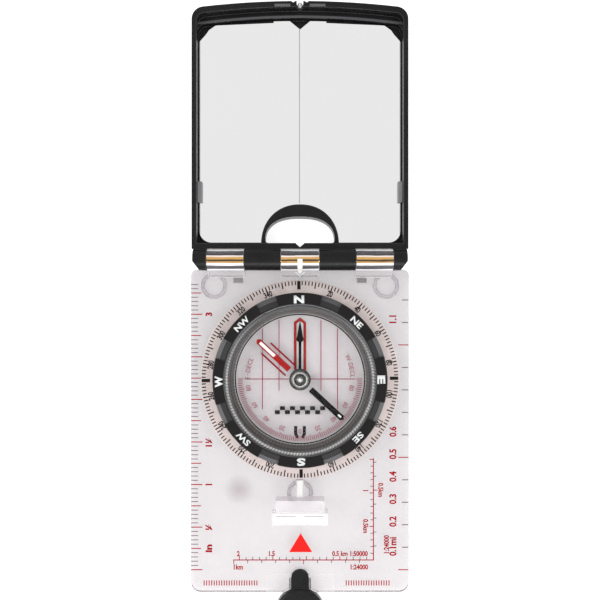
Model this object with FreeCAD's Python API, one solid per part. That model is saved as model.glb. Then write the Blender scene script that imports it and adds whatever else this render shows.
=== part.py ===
import FreeCAD, Part
import math
import os

# Baseplate compass with a sighting mirror, lid opened flat. Millimetres.
# Every number is taken from the capsule's axis (X = Y = 0) and from the table (Z = 0):
# +X to the right, +Y towards the lid, +Z up. save() then moves each shape along Y,
# so that the origin ends up under the middle of the whole compass.

# Baseplate
BASE_HALF_WIDTH = 32.65
BASE_NEAR_Y = -63.75
BASE_FAR_Y = 32.7
BASE_BOTTOM = 0.5
BASE_TOP = 3.1
BASE_NEAR_CORNER = 3.0
BASE_FAR_CORNER = 2.0
BASE_EDGE_ROUND = 0.4
GUIDE_SLOT_X = 18.5
GUIDE_SLOT_Y = 29.5
GUIDE_SLOT_LENGTH = 3.0
GUIDE_SLOT_WIDTH = 1.8
GUIDE_SLOT_TOP = 2.3
FITTING_PAD_HALF_WIDTH = 10.0
FITTING_PAD_FAR_Y = -58.3
FITTING_PAD_NEAR_Y = -63.4
FITTING_PAD_RISE = 0.2

# Silicone feet, in recesses under the baseplate
FOOT_OUTER_R = 3.9
FOOT_INNER_R = 2.8
FOOT_TOP = 1.3
FAR_FOOT_X = 25.8
FAR_FOOT_Y = 27.9
NEAR_FOOT_Y = -34.3

# Magnifier lens, a shallow dome on the baseplate
LENS_X = -18.2
LENS_Y = -33.0
LENS_R = 5.0
LENS_RISE = 0.7

# Hinge
HINGE_Y = 35.0
HINGE_Z = 9.0
KNUCKLE_R = 3.05
PIN_R = 1.1
PIN_BORE_R = 1.14
PIN_HALF_LENGTH = 29.2
INNER_SPLIT_X = 5.45
MIDDLE_SPLIT_X = 16.3
OUTER_SPLIT_X = 26.9
KNUCKLE_GAP = 0.15
RISER_NEAR_Y = 30.3
RISER_STEP_Z = 6.2
RISER_SHOULDER_Y = 32.1
RISER_SHOULDER_Z = 8.6
RISER_BACK_Y = 36.6
RISER_BACK_Z = 6.5

# Luminous indexes
NORTH_INDEX_HALF_WIDTH = 0.7
NORTH_INDEX_FAR_Y = 35.1
INDEX_DEPTH = 0.4
SOUTH_INDEX_HALF_WIDTH = 0.8
SOUTH_INDEX_FAR_Y = -30.1
SOUTH_INDEX_NEAR_Y = -34.8

# Lid catch: a clear block that stands inside the closed lid's end wall, with a stalk
# for the south index, and the rest that the closed lid's rim lands on
CATCH_HALF_WIDTH = 7.05
CATCH_FAR_Y = -34.95
CATCH_NEAR_Y = -38.3
CATCH_TOP = 9.9
STALK_HALF_WIDTH = 1.2
STALK_FAR_Y = -29.9
STALK_TOP = 4.6
REST_HALF_WIDTH = 8.2
REST_FAR_Y = -38.65
REST_NEAR_Y = -42.4
REST_TOP = 8.6
REST_EDGE_CHAMFER = 0.3

# Bezel: flange on top of the baseplate, sleeve through its hole, snap lip under it
HOLE_R = 23.8
LIP_RECESS_R = 24.7
LIP_RECESS_TOP = 1.4
SLEEVE_R = 23.7
SLEEVE_INNER_R = 22.7
SLEEVE_BOTTOM = 0.7
LIP_R = 24.4
LIP_TOP = 1.2
FLANGE_R = 29.4
FLANGE_BOTTOM = 3.2
FLANGE_TOP = 5.0
FLANGE_CHAMFER = 0.3
BEZEL_TURN_DEG = 0.7

# Grip ring on the flange
GRIP_FOOT_R = 25.7
GRIP_SIDE_R = 25.4
GRIP_SIDE_TOP = 9.9
GRIP_TOP_OUTER_R = 25.1
GRIP_TOP = 10.4
GRIP_TOP_INNER_R = 22.2
GRIP_INNER_R = 21.95
GRIP_INNER_CORNER_Z = 10.1
GRIP_STEP_Z = 9.1
RECESS_COUNT = 8
RECESS_ANGLE_DEG = 14.0
RECESS_START_R = 21.9
RECESS_MIDDLE_R = 24.1
RECESS_MIDDLE_Z = 9.9
RECESS_OUT_R = 26.2
RECESS_OUT_Z = 7.6
RECESS_OVER_Z = 10.6

# Toothed ring
TOOTHED_COUNT = 150
TOOTHED_INNER_R = 21.0
TOOTHED_ROOT_R = 21.45
TOOTHED_TIP_R = 21.85
TOOTHED_BOTTOM = 9.0
TOOTHED_TOP = 9.9

# Capsule
FLOOR_BOTTOM = 2.2
FLOOR_TOP = 3.0
CUP_R = 22.6
CUP_INNER_R = 21.9
CUP_TOP = 9.0
LINER_FOOT_R = 19.6
LINER_HEAD_R = 20.6
LINER_TOP = 8.9
WINDOW_R = 20.9
WINDOW_BOTTOM = 8.95
WINDOW_TOP = 9.75
BOSS_R = 1.0
BOTTOM_WINDOW_TOP = 1.15

# Orienting disc and its adjusting screw
DISC_BOTTOM = 1.35
DISC_TOP = 2.0
DISC_BORE_R = 1.06
GEAR_MODULE = 0.3
DISC_TEETH = 132
PINION_TEETH = 8
TOOTH_HEIGHT = 0.22
TOOTH_DEPTH = 0.30
TOOTH_THINNING = 0.80
DISC_TIP_SHARE = 0.55
PINION_TIP_SHARE = 0.50
PINION_ROOT_SHARE = 1.0
SCREW_BEARING_DEG = 225.0
SCREW_HEAD_R = 1.2
SCREW_HEAD_HOLE_R = 1.28
SCREW_HEAD_BOTTOM = 0.72
SCREW_SHAFT_R = 0.6
SCREW_BORE_R = 0.65
SCREW_TOP = 2.8
SCREW_BORE_TOP = 2.9
SLOT_WIDTH = 0.5
SLOT_DEPTH = 0.3

# Pivot post, needle and clinometer pointer
POST_FOOT_R = 1.3
POST_FOOT_TOP = 3.3
POST_R = 0.5
POST_SHOULDER_Z = 5.6
POST_TIP_R = 0.05
POST_TIP_Z = 6.5
COLLAR_BORE_R = 0.56
COLLAR_R = 1.5
COLLAR_BOTTOM = 3.35
COLLAR_TOP = 4.3
POINTER_BOTTOM = 3.5
POINTER_TOP = 3.9
POINTER_STEM_HALF_WIDTH = 0.42
POINTER_EYE_R = 2.2
POINTER_HEAD_START = 11.0
POINTER_HEAD_WIDE = 11.6
POINTER_HEAD_HALF_WIDTH = 1.1
POINTER_TIP = 17.7
NEEDLE_BEARING_DEG = 47.3
NEEDLE_BOTTOM = 4.9
NEEDLE_TOP = 5.3
NEEDLE_START = 4.3
NORTH_HALF_WIDTH = 0.88
NORTH_TIP = 17.4
NORTH_SHOULDER = 16.7
NORTH_SLOT_START = 10.2
NORTH_SLOT_END = 16.1
NORTH_SLOT_HALF_WIDTH = 0.48
SOUTH_HALF_WIDTH = 0.88
SOUTH_TIP = 17.5
SOUTH_SHOULDER = 16.8
SOUTH_SLOT_START = 15.3
SOUTH_SLOT_END = 16.5
SOUTH_SLOT_HALF_WIDTH = 0.28
LUME_GAP = 0.02
VANE_HALF_WIDTH = 2.3
VANE_END = 14.0
VANE_BACK = 2.6
VANE_SPINE_HALF_WIDTH = 0.8
VANE_SPINE_END = 16.6
VANE_BOTTOM = 4.65
VANE_TOP = 4.9
HUB_BUSH_R = 1.5
HUB_BUSH_BOTTOM = 4.5
HUB_BORE_R = 0.95
HUB_BORE_TOP = 6.95
HUB_R = 3.2
HUB_UNDER_Z = 5.4
HUB_EDGE_Z = 5.8
HUB_STEP_R = 2.3
HUB_STEP_Z = 6.6
HUB_CROWN_R = 1.3
HUB_CROWN_Z = 7.2
HUB_TOP = 7.4
JEWEL_R = 0.93
JEWEL_BOTTOM = 6.0
JEWEL_TOP = 6.9
JEWEL_CONE_R = 0.6
JEWEL_CONE_TOP = 6.65

# Lid shell
LID_HALF_WIDTH = 31.55
LID_BACK = 0.1
LID_BACK_PANEL = 1.7
LID_FLOOR = 3.3
LID_LEDGE = 5.7
LID_RIM = 9.0
LID_NEAR_Y = 38.3
LID_NEAR_WALL = 1.6
LID_FAR_Y = 110.4
LID_FAR_BOW = 2.0
LID_CORNER_R = 3.6
LID_WALL = 1.4
LID_FAR_WALL = 1.7
LID_LEDGE_WIDTH = 2.0
LID_BACK_RIM = 2.4
LID_EDGE_CHAMFER = 0.8
LID_INNER_CORNER_R = 2.4
LUG_HALF_WIDTH = 31.0
LUG_SHOULDER_Y = 34.5
LUG_END_X = 29.2
LUG_END_Y = 32.0
LID_BRIDGE_Z = 4.6

# Sight window at the lid's hinge end
ARCH_POINTS = 24
WINDOW_HALF_WIDTH = 10.25
WINDOW_NEAR_Y = 40.35
WINDOW_CORNER_R = 0.9
WINDOW_RISE = 6.9
WINDOW_POWER = 2.4
FRAME_HALF_WIDTH = 11.35
FRAME_RISE = 11.8
FRAME_POWER = 2.15
FRAME_TOP = 5.3
SIGHT_V_HALF_WIDTH = 1.3
SIGHT_V_TIP_Y = 38.75

# Sighting notch in the lid's far rim
NOTCH_HALF_WIDTH = 0.95
NOTCH_NEAR_Y = 108.7
NOTCH_BOTTOM = 5.5
GROOVE_HALF_WIDTH = 0.8
GROOVE_BOTTOM = 7.4
BEAD_R = 0.75
BEAD_Y = 109.65
BEAD_TOP = 8.5
EAR_CUT_X = 1.95
EAR_CUT_HALF_WIDTH = 0.65
EAR_CUT_DEPTH = 0.45
PAD_START_X = 2.8
PAD_END_X = 7.4
PAD_NEAR_Y = 108.75
PAD_FAR_Y = 109.45
PAD_RISE = 0.25

# Mirror and its clips
MIRROR_HALF_WIDTH = 29.85
MIRROR_TOP = 4.5
MIRROR_NEAR_Y = 40.55
MIRROR_NEAR_CORNER = 3.6
MIRROR_SIDE_END_Y = 100.0
MIRROR_CORNER = ((27.9, 102.2), (27.0, 103.5))
MIRROR_SHOULDER_X = 25.0
MIRROR_SHOULDER_Y = 104.9
MIRROR_STEP_X = 7.8
MIRROR_STEP_Y = 105.65
MIRROR_FAR_Y = 106.2
MIRROR_ARCH_GAP = 0.2
MIRROR_V_HALF_WIDTH = 3.0
MIRROR_V_TIP_Y = 103.7
CLIP_NEAR_Y = 52.4
CLIP_FAR_Y = 58.4
CLIP_INNER_X = 28.95
CLIP_BOTTOM = 4.55
CLIP_TOP = 6.1

# Lanyard fitting: a button whose tongue slides into the baseplate's end on two rails
TONGUE_HALF_WIDTH = 2.6
TONGUE_FAR_Y = -56.7
TONGUE_BOTTOM = 0.7
TONGUE_TOP = 3.7
RAIL_HALF_WIDTH = 3.2
RAIL_FAR_Y = -59.6
RAIL_BOTTOM = 1.35
RAIL_TOP = 2.2
FITTING_GAP = 0.12
BUTTON_Y = -69.8
BUTTON_R = 7.4
BUTTON_RELIEF = 0.3
BUTTON_BOTTOM = 0.5
BUTTON_TOP = 4.6
BUTTON_ROUND = 0.8
CORD_EYE_Y = -73.0
CORD_EYE_R = 2.0

WHOLE_MIDDLE_Y = (LID_FAR_Y + BUTTON_Y - BUTTON_R) / 2
OVER = 1.0


def point(x, y, z=0.0):
    return FreeCAD.Vector(x, y, z)


def block(x_low, x_high, y_low, y_high, z_low, z_high):
    return Part.makeBox(x_high - x_low, y_high - y_low, z_high - z_low, point(x_low, y_low, z_low))


def disc(radius, z_low, z_high, x=0.0, y=0.0):
    return Part.makeCylinder(radius, z_high - z_low, point(x, y, z_low))


def ring(outer, inner, z_low, z_high, x=0.0, y=0.0):
    return disc(outer, z_low, z_high, x, y).cut(disc(inner, z_low - OVER, z_high + OVER, x, y))


def rod(radius, x_low, x_high):
    """A cylinder along the hinge's axis."""
    return Part.makeCylinder(radius, x_high - x_low, point(x_low, HINGE_Y, HINGE_Z), point(1, 0, 0))


def closed_face(points):
    return Part.Face(Part.makePolygon(points + [points[0]]))


def plate(corners, z_low, z_high):
    """A flat plate with straight sides, from its corners in plan."""
    face = closed_face([point(x, y, z_low) for x, y in corners])
    return face.extrude(point(0, 0, z_high - z_low))


def side_profile(corners, x_low, x_high):
    """A bar along X, from its corners in Y and Z."""
    face = closed_face([point(x_low, y, z) for y, z in corners])
    return face.extrude(point(x_high - x_low, 0, 0))


def turned(profile, angle=360.0, start=0.0):
    """A turned shape about the capsule's axis, from its radii and heights."""
    face = closed_face([point(radius, 0, z) for radius, z in profile])
    face.rotate(point(0, 0), point(0, 0, 1), start)
    return face.revolve(point(0, 0), point(0, 0, 1), angle)


def rounded_plate(corners, z_low, z_high):
    """A flat plate in plan whose corners are (x, y, radius)."""
    arcs = []
    count = len(corners)
    for i in range(count):
        here = point(corners[i][0], corners[i][1], z_low)
        radius = corners[i][2]
        to_last = point(*corners[i - 1][:2], z_low).sub(here).normalize()
        to_next = point(*corners[(i + 1) % count][:2], z_low).sub(here).normalize()
        half_angle = to_last.getAngle(to_next) / 2
        reach = radius / math.tan(half_angle)
        inward = to_last.add(to_next).normalize()
        middle = here.add(inward.multiply(radius / math.sin(half_angle) - radius))
        arcs.append((here.add(to_last.multiply(reach)), middle, here.add(to_next.multiply(reach))))
    edges = []
    for i in range(count):
        start, middle, end = arcs[i]
        edges.append(Part.Arc(start, middle, end).toShape())
        edges.append(Part.makeLine(end, arcs[(i + 1) % count][0]))
    return Part.Face(Part.Wire(edges)).extrude(point(0, 0, z_high - z_low))


def rounded_uprights(shape, radius, y_low):
    """Rounds the upright edges beyond y_low."""
    edges = []
    for edge in shape.Edges:
        if len(edge.Vertexes) != 2:
            continue
        first, last = (vertex.Point for vertex in edge.Vertexes)
        upright = abs(first.x - last.x) + abs(first.y - last.y) < 1e-6
        if upright and first.y > y_low:
            edges.append(edge)
    return shape.makeFillet(radius, edges)


def edges_at_height(shape, z):
    return [e for e in shape.Edges if all(abs(v.Point.z - z) < 1e-6 for v in e.Vertexes)]


def mirrored_pair(shape):
    """A shape and its mirror image across the middle plane."""
    return Part.makeCompound([shape, shape.mirror(point(0, 0), point(1, 0, 0))])


def fuse_all(shapes):
    return shapes[0].multiFuse(shapes[1:]).removeSplitter()


def at_bearing(shape, degrees):
    """Turns a shape anticlockwise about the capsule's axis."""
    turned_shape = shape.copy()
    turned_shape.rotate(point(0, 0), point(0, 0, 1), degrees)
    return turned_shape


def save(name, shape):
    placed = shape.copy()
    placed.translate(point(0, -WHOLE_MIDDLE_Y, 0))
    placed.exportStep("parts/" + name + ".step")
    print(name, len(placed.Solids), "solids", round(placed.Volume, 2), "mm3", placed.isValid())


def knuckle_spans(splits, gap):
    """The clear knuckles' spans, or with a gap the spaces that the lid's knuckles leave them."""
    inner, middle, outer = splits
    return [(-outer - gap, -middle + gap), (-inner - gap, inner + gap), (middle - gap, outer + gap)]


def riser(x_low, x_high):
    """One clear knuckle and the riser that carries it above the baseplate."""
    corners = [
        (RISER_NEAR_Y, BASE_TOP - BASE_EDGE_ROUND * 2),
        (RISER_NEAR_Y, RISER_STEP_Z),
        (RISER_SHOULDER_Y, RISER_SHOULDER_Z),
        (HINGE_Y, HINGE_Z),
        (RISER_BACK_Y, RISER_BACK_Z),
        (BASE_FAR_Y - BASE_EDGE_ROUND, BASE_BOTTOM + BASE_EDGE_ROUND * 2),
    ]
    return side_profile(corners, x_low, x_high).fuse(rod(KNUCKLE_R, x_low, x_high))


def north_index():
    """A bar let into the top of the centre knuckle."""
    skin = rod(KNUCKLE_R, -NORTH_INDEX_HALF_WIDTH, NORTH_INDEX_HALF_WIDTH)
    core = rod(KNUCKLE_R - INDEX_DEPTH, -BASE_HALF_WIDTH, BASE_HALF_WIDTH)
    top = block(
        -BASE_HALF_WIDTH, BASE_HALF_WIDTH, RISER_SHOULDER_Y, NORTH_INDEX_FAR_Y, HINGE_Z, HINGE_Z + KNUCKLE_R + OVER
    )
    return skin.cut(core).common(top)


def south_index():
    return block(
        -SOUTH_INDEX_HALF_WIDTH,
        SOUTH_INDEX_HALF_WIDTH,
        SOUTH_INDEX_NEAR_Y,
        SOUTH_INDEX_FAR_Y,
        STALK_TOP - INDEX_DEPTH,
        STALK_TOP,
    )


def feet():
    places = [(FAR_FOOT_X, FAR_FOOT_Y), (-FAR_FOOT_X, FAR_FOOT_Y), (0, NEAR_FOOT_Y)]
    return [ring(FOOT_OUTER_R, FOOT_INNER_R, 0, FOOT_TOP, x, y) for x, y in places]


def tongue_space(gap):
    """The tongue with its rails, grown by a gap for the slot in the baseplate."""
    half_width = TONGUE_HALF_WIDTH + gap
    end_y = TONGUE_FAR_Y - TONGUE_HALF_WIDTH
    straight = block(-half_width, half_width, BUTTON_Y, end_y, TONGUE_BOTTOM, TONGUE_TOP)
    rounded = disc(half_width, TONGUE_BOTTOM, TONGUE_TOP, 0, end_y)
    rails = block(
        -RAIL_HALF_WIDTH - gap,
        RAIL_HALF_WIDTH + gap,
        BUTTON_Y,
        RAIL_FAR_Y + gap,
        RAIL_BOTTOM - gap,
        RAIL_TOP + gap,
    )
    return fuse_all([straight, rounded, rails])


def baseplate():
    corners = [
        (-BASE_HALF_WIDTH, BASE_NEAR_Y, BASE_NEAR_CORNER),
        (BASE_HALF_WIDTH, BASE_NEAR_Y, BASE_NEAR_CORNER),
        (BASE_HALF_WIDTH, BASE_FAR_Y, BASE_FAR_CORNER),
        (-BASE_HALF_WIDTH, BASE_FAR_Y, BASE_FAR_CORNER),
    ]
    body = rounded_plate(corners, BASE_BOTTOM, BASE_TOP)
    rims = edges_at_height(body, BASE_TOP) + edges_at_height(body, BASE_BOTTOM)
    body = body.makeFillet(BASE_EDGE_ROUND, rims)
    pad = block(
        -FITTING_PAD_HALF_WIDTH,
        FITTING_PAD_HALF_WIDTH,
        FITTING_PAD_NEAR_Y,
        FITTING_PAD_FAR_Y,
        BASE_TOP - FITTING_PAD_RISE,
        BASE_TOP + FITTING_PAD_RISE,
    )
    spans = knuckle_spans((INNER_SPLIT_X, MIDDLE_SPLIT_X, OUTER_SPLIT_X), 0)
    body = fuse_all([body, pad] + [riser(low, high) for low, high in spans])
    body = body.cut(rod(PIN_BORE_R, -BASE_HALF_WIDTH, BASE_HALF_WIDTH))
    body = body.cut(disc(HOLE_R, 0, BASE_TOP + OVER))
    body = body.cut(disc(LIP_RECESS_R, 0, LIP_RECESS_TOP))
    slot = block(
        GUIDE_SLOT_X - GUIDE_SLOT_LENGTH / 2,
        GUIDE_SLOT_X + GUIDE_SLOT_LENGTH / 2,
        GUIDE_SLOT_Y - GUIDE_SLOT_WIDTH / 2,
        GUIDE_SLOT_Y + GUIDE_SLOT_WIDTH / 2,
        0,
        GUIDE_SLOT_TOP,
    )
    body = body.cut(mirrored_pair(slot))
    for foot in feet():
        body = body.cut(foot)
    tongue = tongue_space(FITTING_GAP)
    tall = block(
        -TONGUE_HALF_WIDTH - FITTING_GAP,
        TONGUE_HALF_WIDTH + FITTING_GAP,
        BUTTON_Y,
        TONGUE_FAR_Y - TONGUE_HALF_WIDTH,
        0,
        TONGUE_TOP + OVER,
    )
    rounded = disc(TONGUE_HALF_WIDTH + FITTING_GAP, 0, TONGUE_TOP + OVER, 0, TONGUE_FAR_Y - TONGUE_HALF_WIDTH)
    body = body.cut(tongue).cut(tall).cut(rounded)
    body = body.cut(disc(BUTTON_R + BUTTON_RELIEF, 0, BUTTON_TOP, 0, BUTTON_Y))
    return body.cut(north_index())


def magnifier_lens():
    sphere_r = (LENS_R ** 2 + LENS_RISE ** 2) / (2 * LENS_RISE)
    sphere = Part.makeSphere(sphere_r, point(LENS_X, LENS_Y, BASE_TOP + LENS_RISE - sphere_r))
    return sphere.common(disc(LENS_R + OVER, BASE_TOP, BASE_TOP + LENS_RISE + OVER, LENS_X, LENS_Y))


def lid_catch():
    post = block(-CATCH_HALF_WIDTH, CATCH_HALF_WIDTH, CATCH_NEAR_Y, CATCH_FAR_Y, BASE_TOP, CATCH_TOP)
    stalk = block(-STALK_HALF_WIDTH, STALK_HALF_WIDTH, CATCH_FAR_Y, STALK_FAR_Y, BASE_TOP, STALK_TOP)
    return fuse_all([post, stalk]).cut(south_index())


def catch_rest():
    body = block(-REST_HALF_WIDTH, REST_HALF_WIDTH, REST_NEAR_Y, REST_FAR_Y, BASE_TOP, REST_TOP)
    return body.makeChamfer(REST_EDGE_CHAMFER, edges_at_height(body, REST_TOP))


def bezel_flange():
    profile = [
        (SLEEVE_INNER_R, SLEEVE_BOTTOM),
        (LIP_R, SLEEVE_BOTTOM),
        (LIP_R, LIP_TOP),
        (SLEEVE_R, LIP_TOP),
        (SLEEVE_R, FLANGE_BOTTOM),
        (FLANGE_R - FLANGE_CHAMFER, FLANGE_BOTTOM),
        (FLANGE_R, FLANGE_BOTTOM + FLANGE_CHAMFER),
        (FLANGE_R, FLANGE_TOP - FLANGE_CHAMFER),
        (FLANGE_R - FLANGE_CHAMFER, FLANGE_TOP),
        (SLEEVE_INNER_R, FLANGE_TOP),
    ]
    return turned(profile)


def grip_ring():
    profile = [
        (SLEEVE_INNER_R, FLANGE_TOP),
        (GRIP_FOOT_R, FLANGE_TOP),
        (GRIP_SIDE_R, GRIP_SIDE_TOP),
        (GRIP_TOP_OUTER_R, GRIP_TOP),
        (GRIP_TOP_INNER_R, GRIP_TOP),
        (GRIP_INNER_R, GRIP_INNER_CORNER_Z),
        (GRIP_INNER_R, GRIP_STEP_Z),
        (SLEEVE_INNER_R, GRIP_STEP_Z),
    ]
    shape = turned(profile)
    recess = [
        (RECESS_START_R, RECESS_OVER_Z),
        (RECESS_MIDDLE_R, RECESS_MIDDLE_Z),
        (RECESS_OUT_R, RECESS_OUT_Z),
        (RECESS_OUT_R, RECESS_OVER_Z),
    ]
    pitch = 360.0 / RECESS_COUNT
    for i in range(RECESS_COUNT):
        start = BEZEL_TURN_DEG + (i + 0.5) * pitch - RECESS_ANGLE_DEG / 2
        shape = shape.cut(turned(recess, RECESS_ANGLE_DEG, start))
    return shape


def toothed_ring():
    corners = []
    for i in range(TOOTHED_COUNT):
        for share, radius in ((0.0, TOOTHED_ROOT_R), (0.5, TOOTHED_TIP_R)):
            angle = 2 * math.pi * (i + share) / TOOTHED_COUNT
            corners.append((radius * math.cos(angle), radius * math.sin(angle)))
    shape = plate(corners, TOOTHED_BOTTOM, TOOTHED_TOP)
    return shape.cut(disc(TOOTHED_INNER_R, TOOTHED_BOTTOM - OVER, TOOTHED_TOP + OVER))


def screw_axis():
    distance = GEAR_MODULE * (DISC_TEETH + PINION_TEETH) / 2
    angle = math.radians(SCREW_BEARING_DEG)
    return distance * math.cos(angle), distance * math.sin(angle)


def capsule_cup():
    floor = disc(CUP_R, FLOOR_BOTTOM, FLOOR_TOP)
    wall = ring(CUP_R, CUP_INNER_R, FLOOR_BOTTOM, CUP_TOP)
    boss = disc(BOSS_R, BOTTOM_WINDOW_TOP + LUME_GAP, FLOOR_BOTTOM)
    x, y = screw_axis()
    return fuse_all([floor, wall, boss]).cut(disc(SCREW_BORE_R, FLOOR_BOTTOM - OVER, SCREW_BORE_TOP, x, y))


def capsule_liner():
    profile = [
        (LINER_FOOT_R, FLOOR_TOP),
        (CUP_INNER_R, FLOOR_TOP),
        (CUP_INNER_R, LINER_TOP),
        (LINER_HEAD_R, LINER_TOP),
    ]
    return turned(profile)


def bottom_window():
    x, y = screw_axis()
    hole = disc(SCREW_HEAD_HOLE_R, SLEEVE_BOTTOM - OVER, DISC_BOTTOM, x, y)
    return disc(SLEEVE_INNER_R, SLEEVE_BOTTOM, BOTTOM_WINDOW_TOP).cut(hole)


def pivot_post():
    profile = [
        (0, FLOOR_TOP),
        (POST_FOOT_R, FLOOR_TOP),
        (POST_FOOT_R, POST_FOOT_TOP),
        (POST_R, POST_FOOT_TOP),
        (POST_R, POST_SHOULDER_Z),
        (POST_TIP_R, POST_TIP_Z),
        (0, POST_TIP_Z),
    ]
    return turned(profile)


def gear_outline(teeth, tip_share, root_share):
    """A gear's corners about its own axis. The shares are of the tooth's width at the pitch circle."""
    pitch_r = GEAR_MODULE * teeth / 2
    half_angle = math.pi / teeth / 2 * TOOTH_THINNING
    tip_r = pitch_r + TOOTH_HEIGHT
    root_r = pitch_r - TOOTH_DEPTH
    corners = []
    for i in range(teeth):
        middle = 2 * math.pi * i / teeth
        sides = (
            (-root_share, root_r),
            (-1.0, pitch_r),
            (-tip_share, tip_r),
            (tip_share, tip_r),
            (1.0, pitch_r),
            (root_share, root_r),
        )
        for share, radius in sides:
            angle = middle + share * half_angle
            corners.append((radius * math.cos(angle), radius * math.sin(angle)))
    return corners


def orienting_disc():
    """A clear disc with a toothed rim. One of its teeth points at the adjusting screw."""
    gear = plate(gear_outline(DISC_TEETH, DISC_TIP_SHARE, 1.0), DISC_BOTTOM, DISC_TOP)
    gear = at_bearing(gear, SCREW_BEARING_DEG)
    return gear.cut(disc(DISC_BORE_R, DISC_BOTTOM - OVER, DISC_TOP + OVER))


def adjusting_screw():
    """A slotted screw whose pinion takes the disc's tooth in a gap between two of its own."""
    x, y = screw_axis()
    pinion = plate(gear_outline(PINION_TEETH, PINION_TIP_SHARE, PINION_ROOT_SHARE), DISC_BOTTOM, DISC_TOP)
    half_tooth_deg = 180.0 / PINION_TEETH
    pinion = at_bearing(pinion, SCREW_BEARING_DEG + 180.0 + half_tooth_deg)
    pinion.translate(point(x, y))
    head = disc(SCREW_HEAD_R, SCREW_HEAD_BOTTOM, BOTTOM_WINDOW_TOP + LUME_GAP, x, y)
    shaft = disc(SCREW_SHAFT_R, BOTTOM_WINDOW_TOP, SCREW_TOP, x, y)
    slot = block(
        x - SCREW_HEAD_R - OVER,
        x + SCREW_HEAD_R + OVER,
        y - SLOT_WIDTH / 2,
        y + SLOT_WIDTH / 2,
        SCREW_HEAD_BOTTOM - OVER,
        SCREW_HEAD_BOTTOM + SLOT_DEPTH,
    )
    return fuse_all([head, shaft, pinion]).cut(slot)


def clinometer_pointer():
    corners = [
        (-POINTER_STEM_HALF_WIDTH, COLLAR_R),
        (POINTER_STEM_HALF_WIDTH, COLLAR_R),
        (POINTER_STEM_HALF_WIDTH, POINTER_HEAD_START),
        (POINTER_HEAD_HALF_WIDTH, POINTER_HEAD_WIDE),
        (0, POINTER_TIP),
        (-POINTER_HEAD_HALF_WIDTH, POINTER_HEAD_WIDE),
        (-POINTER_STEM_HALF_WIDTH, POINTER_HEAD_START),
    ]
    arrow = plate(corners, POINTER_BOTTOM, POINTER_TOP)
    eye = disc(POINTER_EYE_R, POINTER_BOTTOM, POINTER_TOP)
    return fuse_all([arrow, eye]).cut(disc(COLLAR_R, POINTER_BOTTOM - OVER, POINTER_TOP + OVER))


def needle_half(half_width, shoulder, tip):
    """Half of the needle along +Y, a painted bar that lies on the vane."""
    corners = [
        (-half_width, NEEDLE_START),
        (half_width, NEEDLE_START),
        (half_width, shoulder),
        (0, tip),
        (-half_width, shoulder),
    ]
    return plate(corners, NEEDLE_BOTTOM, NEEDLE_TOP)


def needle_slot(half_width, start, end, gap):
    return block(-half_width + gap, half_width - gap, start + gap, end - gap, NEEDLE_BOTTOM, NEEDLE_TOP)


def needle_vane():
    sheet = block(-VANE_HALF_WIDTH, VANE_HALF_WIDTH, -VANE_BACK, VANE_END, VANE_BOTTOM, VANE_TOP)
    spine = block(
        -VANE_SPINE_HALF_WIDTH, VANE_SPINE_HALF_WIDTH, -VANE_SPINE_END, VANE_SPINE_END, VANE_BOTTOM, VANE_TOP
    )
    return fuse_all([sheet, spine]).cut(disc(HUB_BUSH_R, VANE_BOTTOM - OVER, VANE_TOP + OVER))


def needle_hub():
    profile = [
        (HUB_BORE_R, HUB_BUSH_BOTTOM),
        (HUB_BUSH_R, HUB_BUSH_BOTTOM),
        (HUB_BUSH_R, HUB_UNDER_Z),
        (HUB_R, HUB_UNDER_Z),
        (HUB_R, HUB_EDGE_Z),
        (HUB_STEP_R, HUB_STEP_Z),
        (HUB_CROWN_R, HUB_CROWN_Z),
        (0, HUB_TOP),
        (0, HUB_BORE_TOP),
        (HUB_BORE_R, HUB_BORE_TOP),
    ]
    return turned(profile)


def jewel():
    profile = [
        (0, JEWEL_TOP),
        (JEWEL_R, JEWEL_TOP),
        (JEWEL_R, JEWEL_BOTTOM),
        (JEWEL_CONE_R, JEWEL_BOTTOM),
        (0, JEWEL_CONE_TOP),
    ]
    return turned(profile)


def bowed_plate(half_width, near_y, far_y, bow, z_low, z_high):
    """A plate with straight sides and a far edge that bows outwards by bow."""
    bow_r = (half_width ** 2 + bow ** 2) / (2 * bow)
    sheet = block(-half_width, half_width, near_y, far_y, z_low, z_high)
    return sheet.common(disc(bow_r, z_low, z_high, 0, far_y - bow_r))


def lid_knuckle(x_low, x_high):
    """A knuckle on the lid and its bridge to the lid's end wall."""
    corners = [
        (HINGE_Y, HINGE_Z - KNUCKLE_R),
        (LID_NEAR_Y + LID_NEAR_WALL / 2, LID_BRIDGE_Z),
        (LID_NEAR_Y + LID_NEAR_WALL / 2, HINGE_Z),
        (HINGE_Y, HINGE_Z),
    ]
    return side_profile(corners, x_low, x_high).fuse(rod(KNUCKLE_R, x_low, x_high))


def lid_lug():
    """The knuckle at the lid's right corner, with its outer corner cut off."""
    start = OUTER_SPLIT_X + KNUCKLE_GAP
    plan = [
        (start, HINGE_Y - KNUCKLE_R),
        (LUG_END_X, LUG_END_Y),
        (LUG_HALF_WIDTH, LUG_SHOULDER_Y),
        (LUG_HALF_WIDTH, LID_NEAR_Y + LID_NEAR_WALL),
        (start, LID_NEAR_Y + LID_NEAR_WALL),
    ]
    return lid_knuckle(start, LID_HALF_WIDTH).common(plate(plan, LID_BACK, HINGE_Z + KNUCKLE_R + OVER))


def arch_curve(half_width, rise, power, near_y, z):
    """A squarish arch that springs from near_y, as one smooth curve."""
    points = []
    for i in range(ARCH_POINTS + 1):
        angle = math.pi * i / ARCH_POINTS
        across = math.cos(angle)
        x = math.copysign(half_width * abs(across) ** (2 / power), across)
        points.append(point(x, near_y + rise * math.sin(angle) ** (2 / power), z))
    curve = Part.BSplineCurve()
    curve.interpolate(points)
    return curve.toShape()


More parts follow.
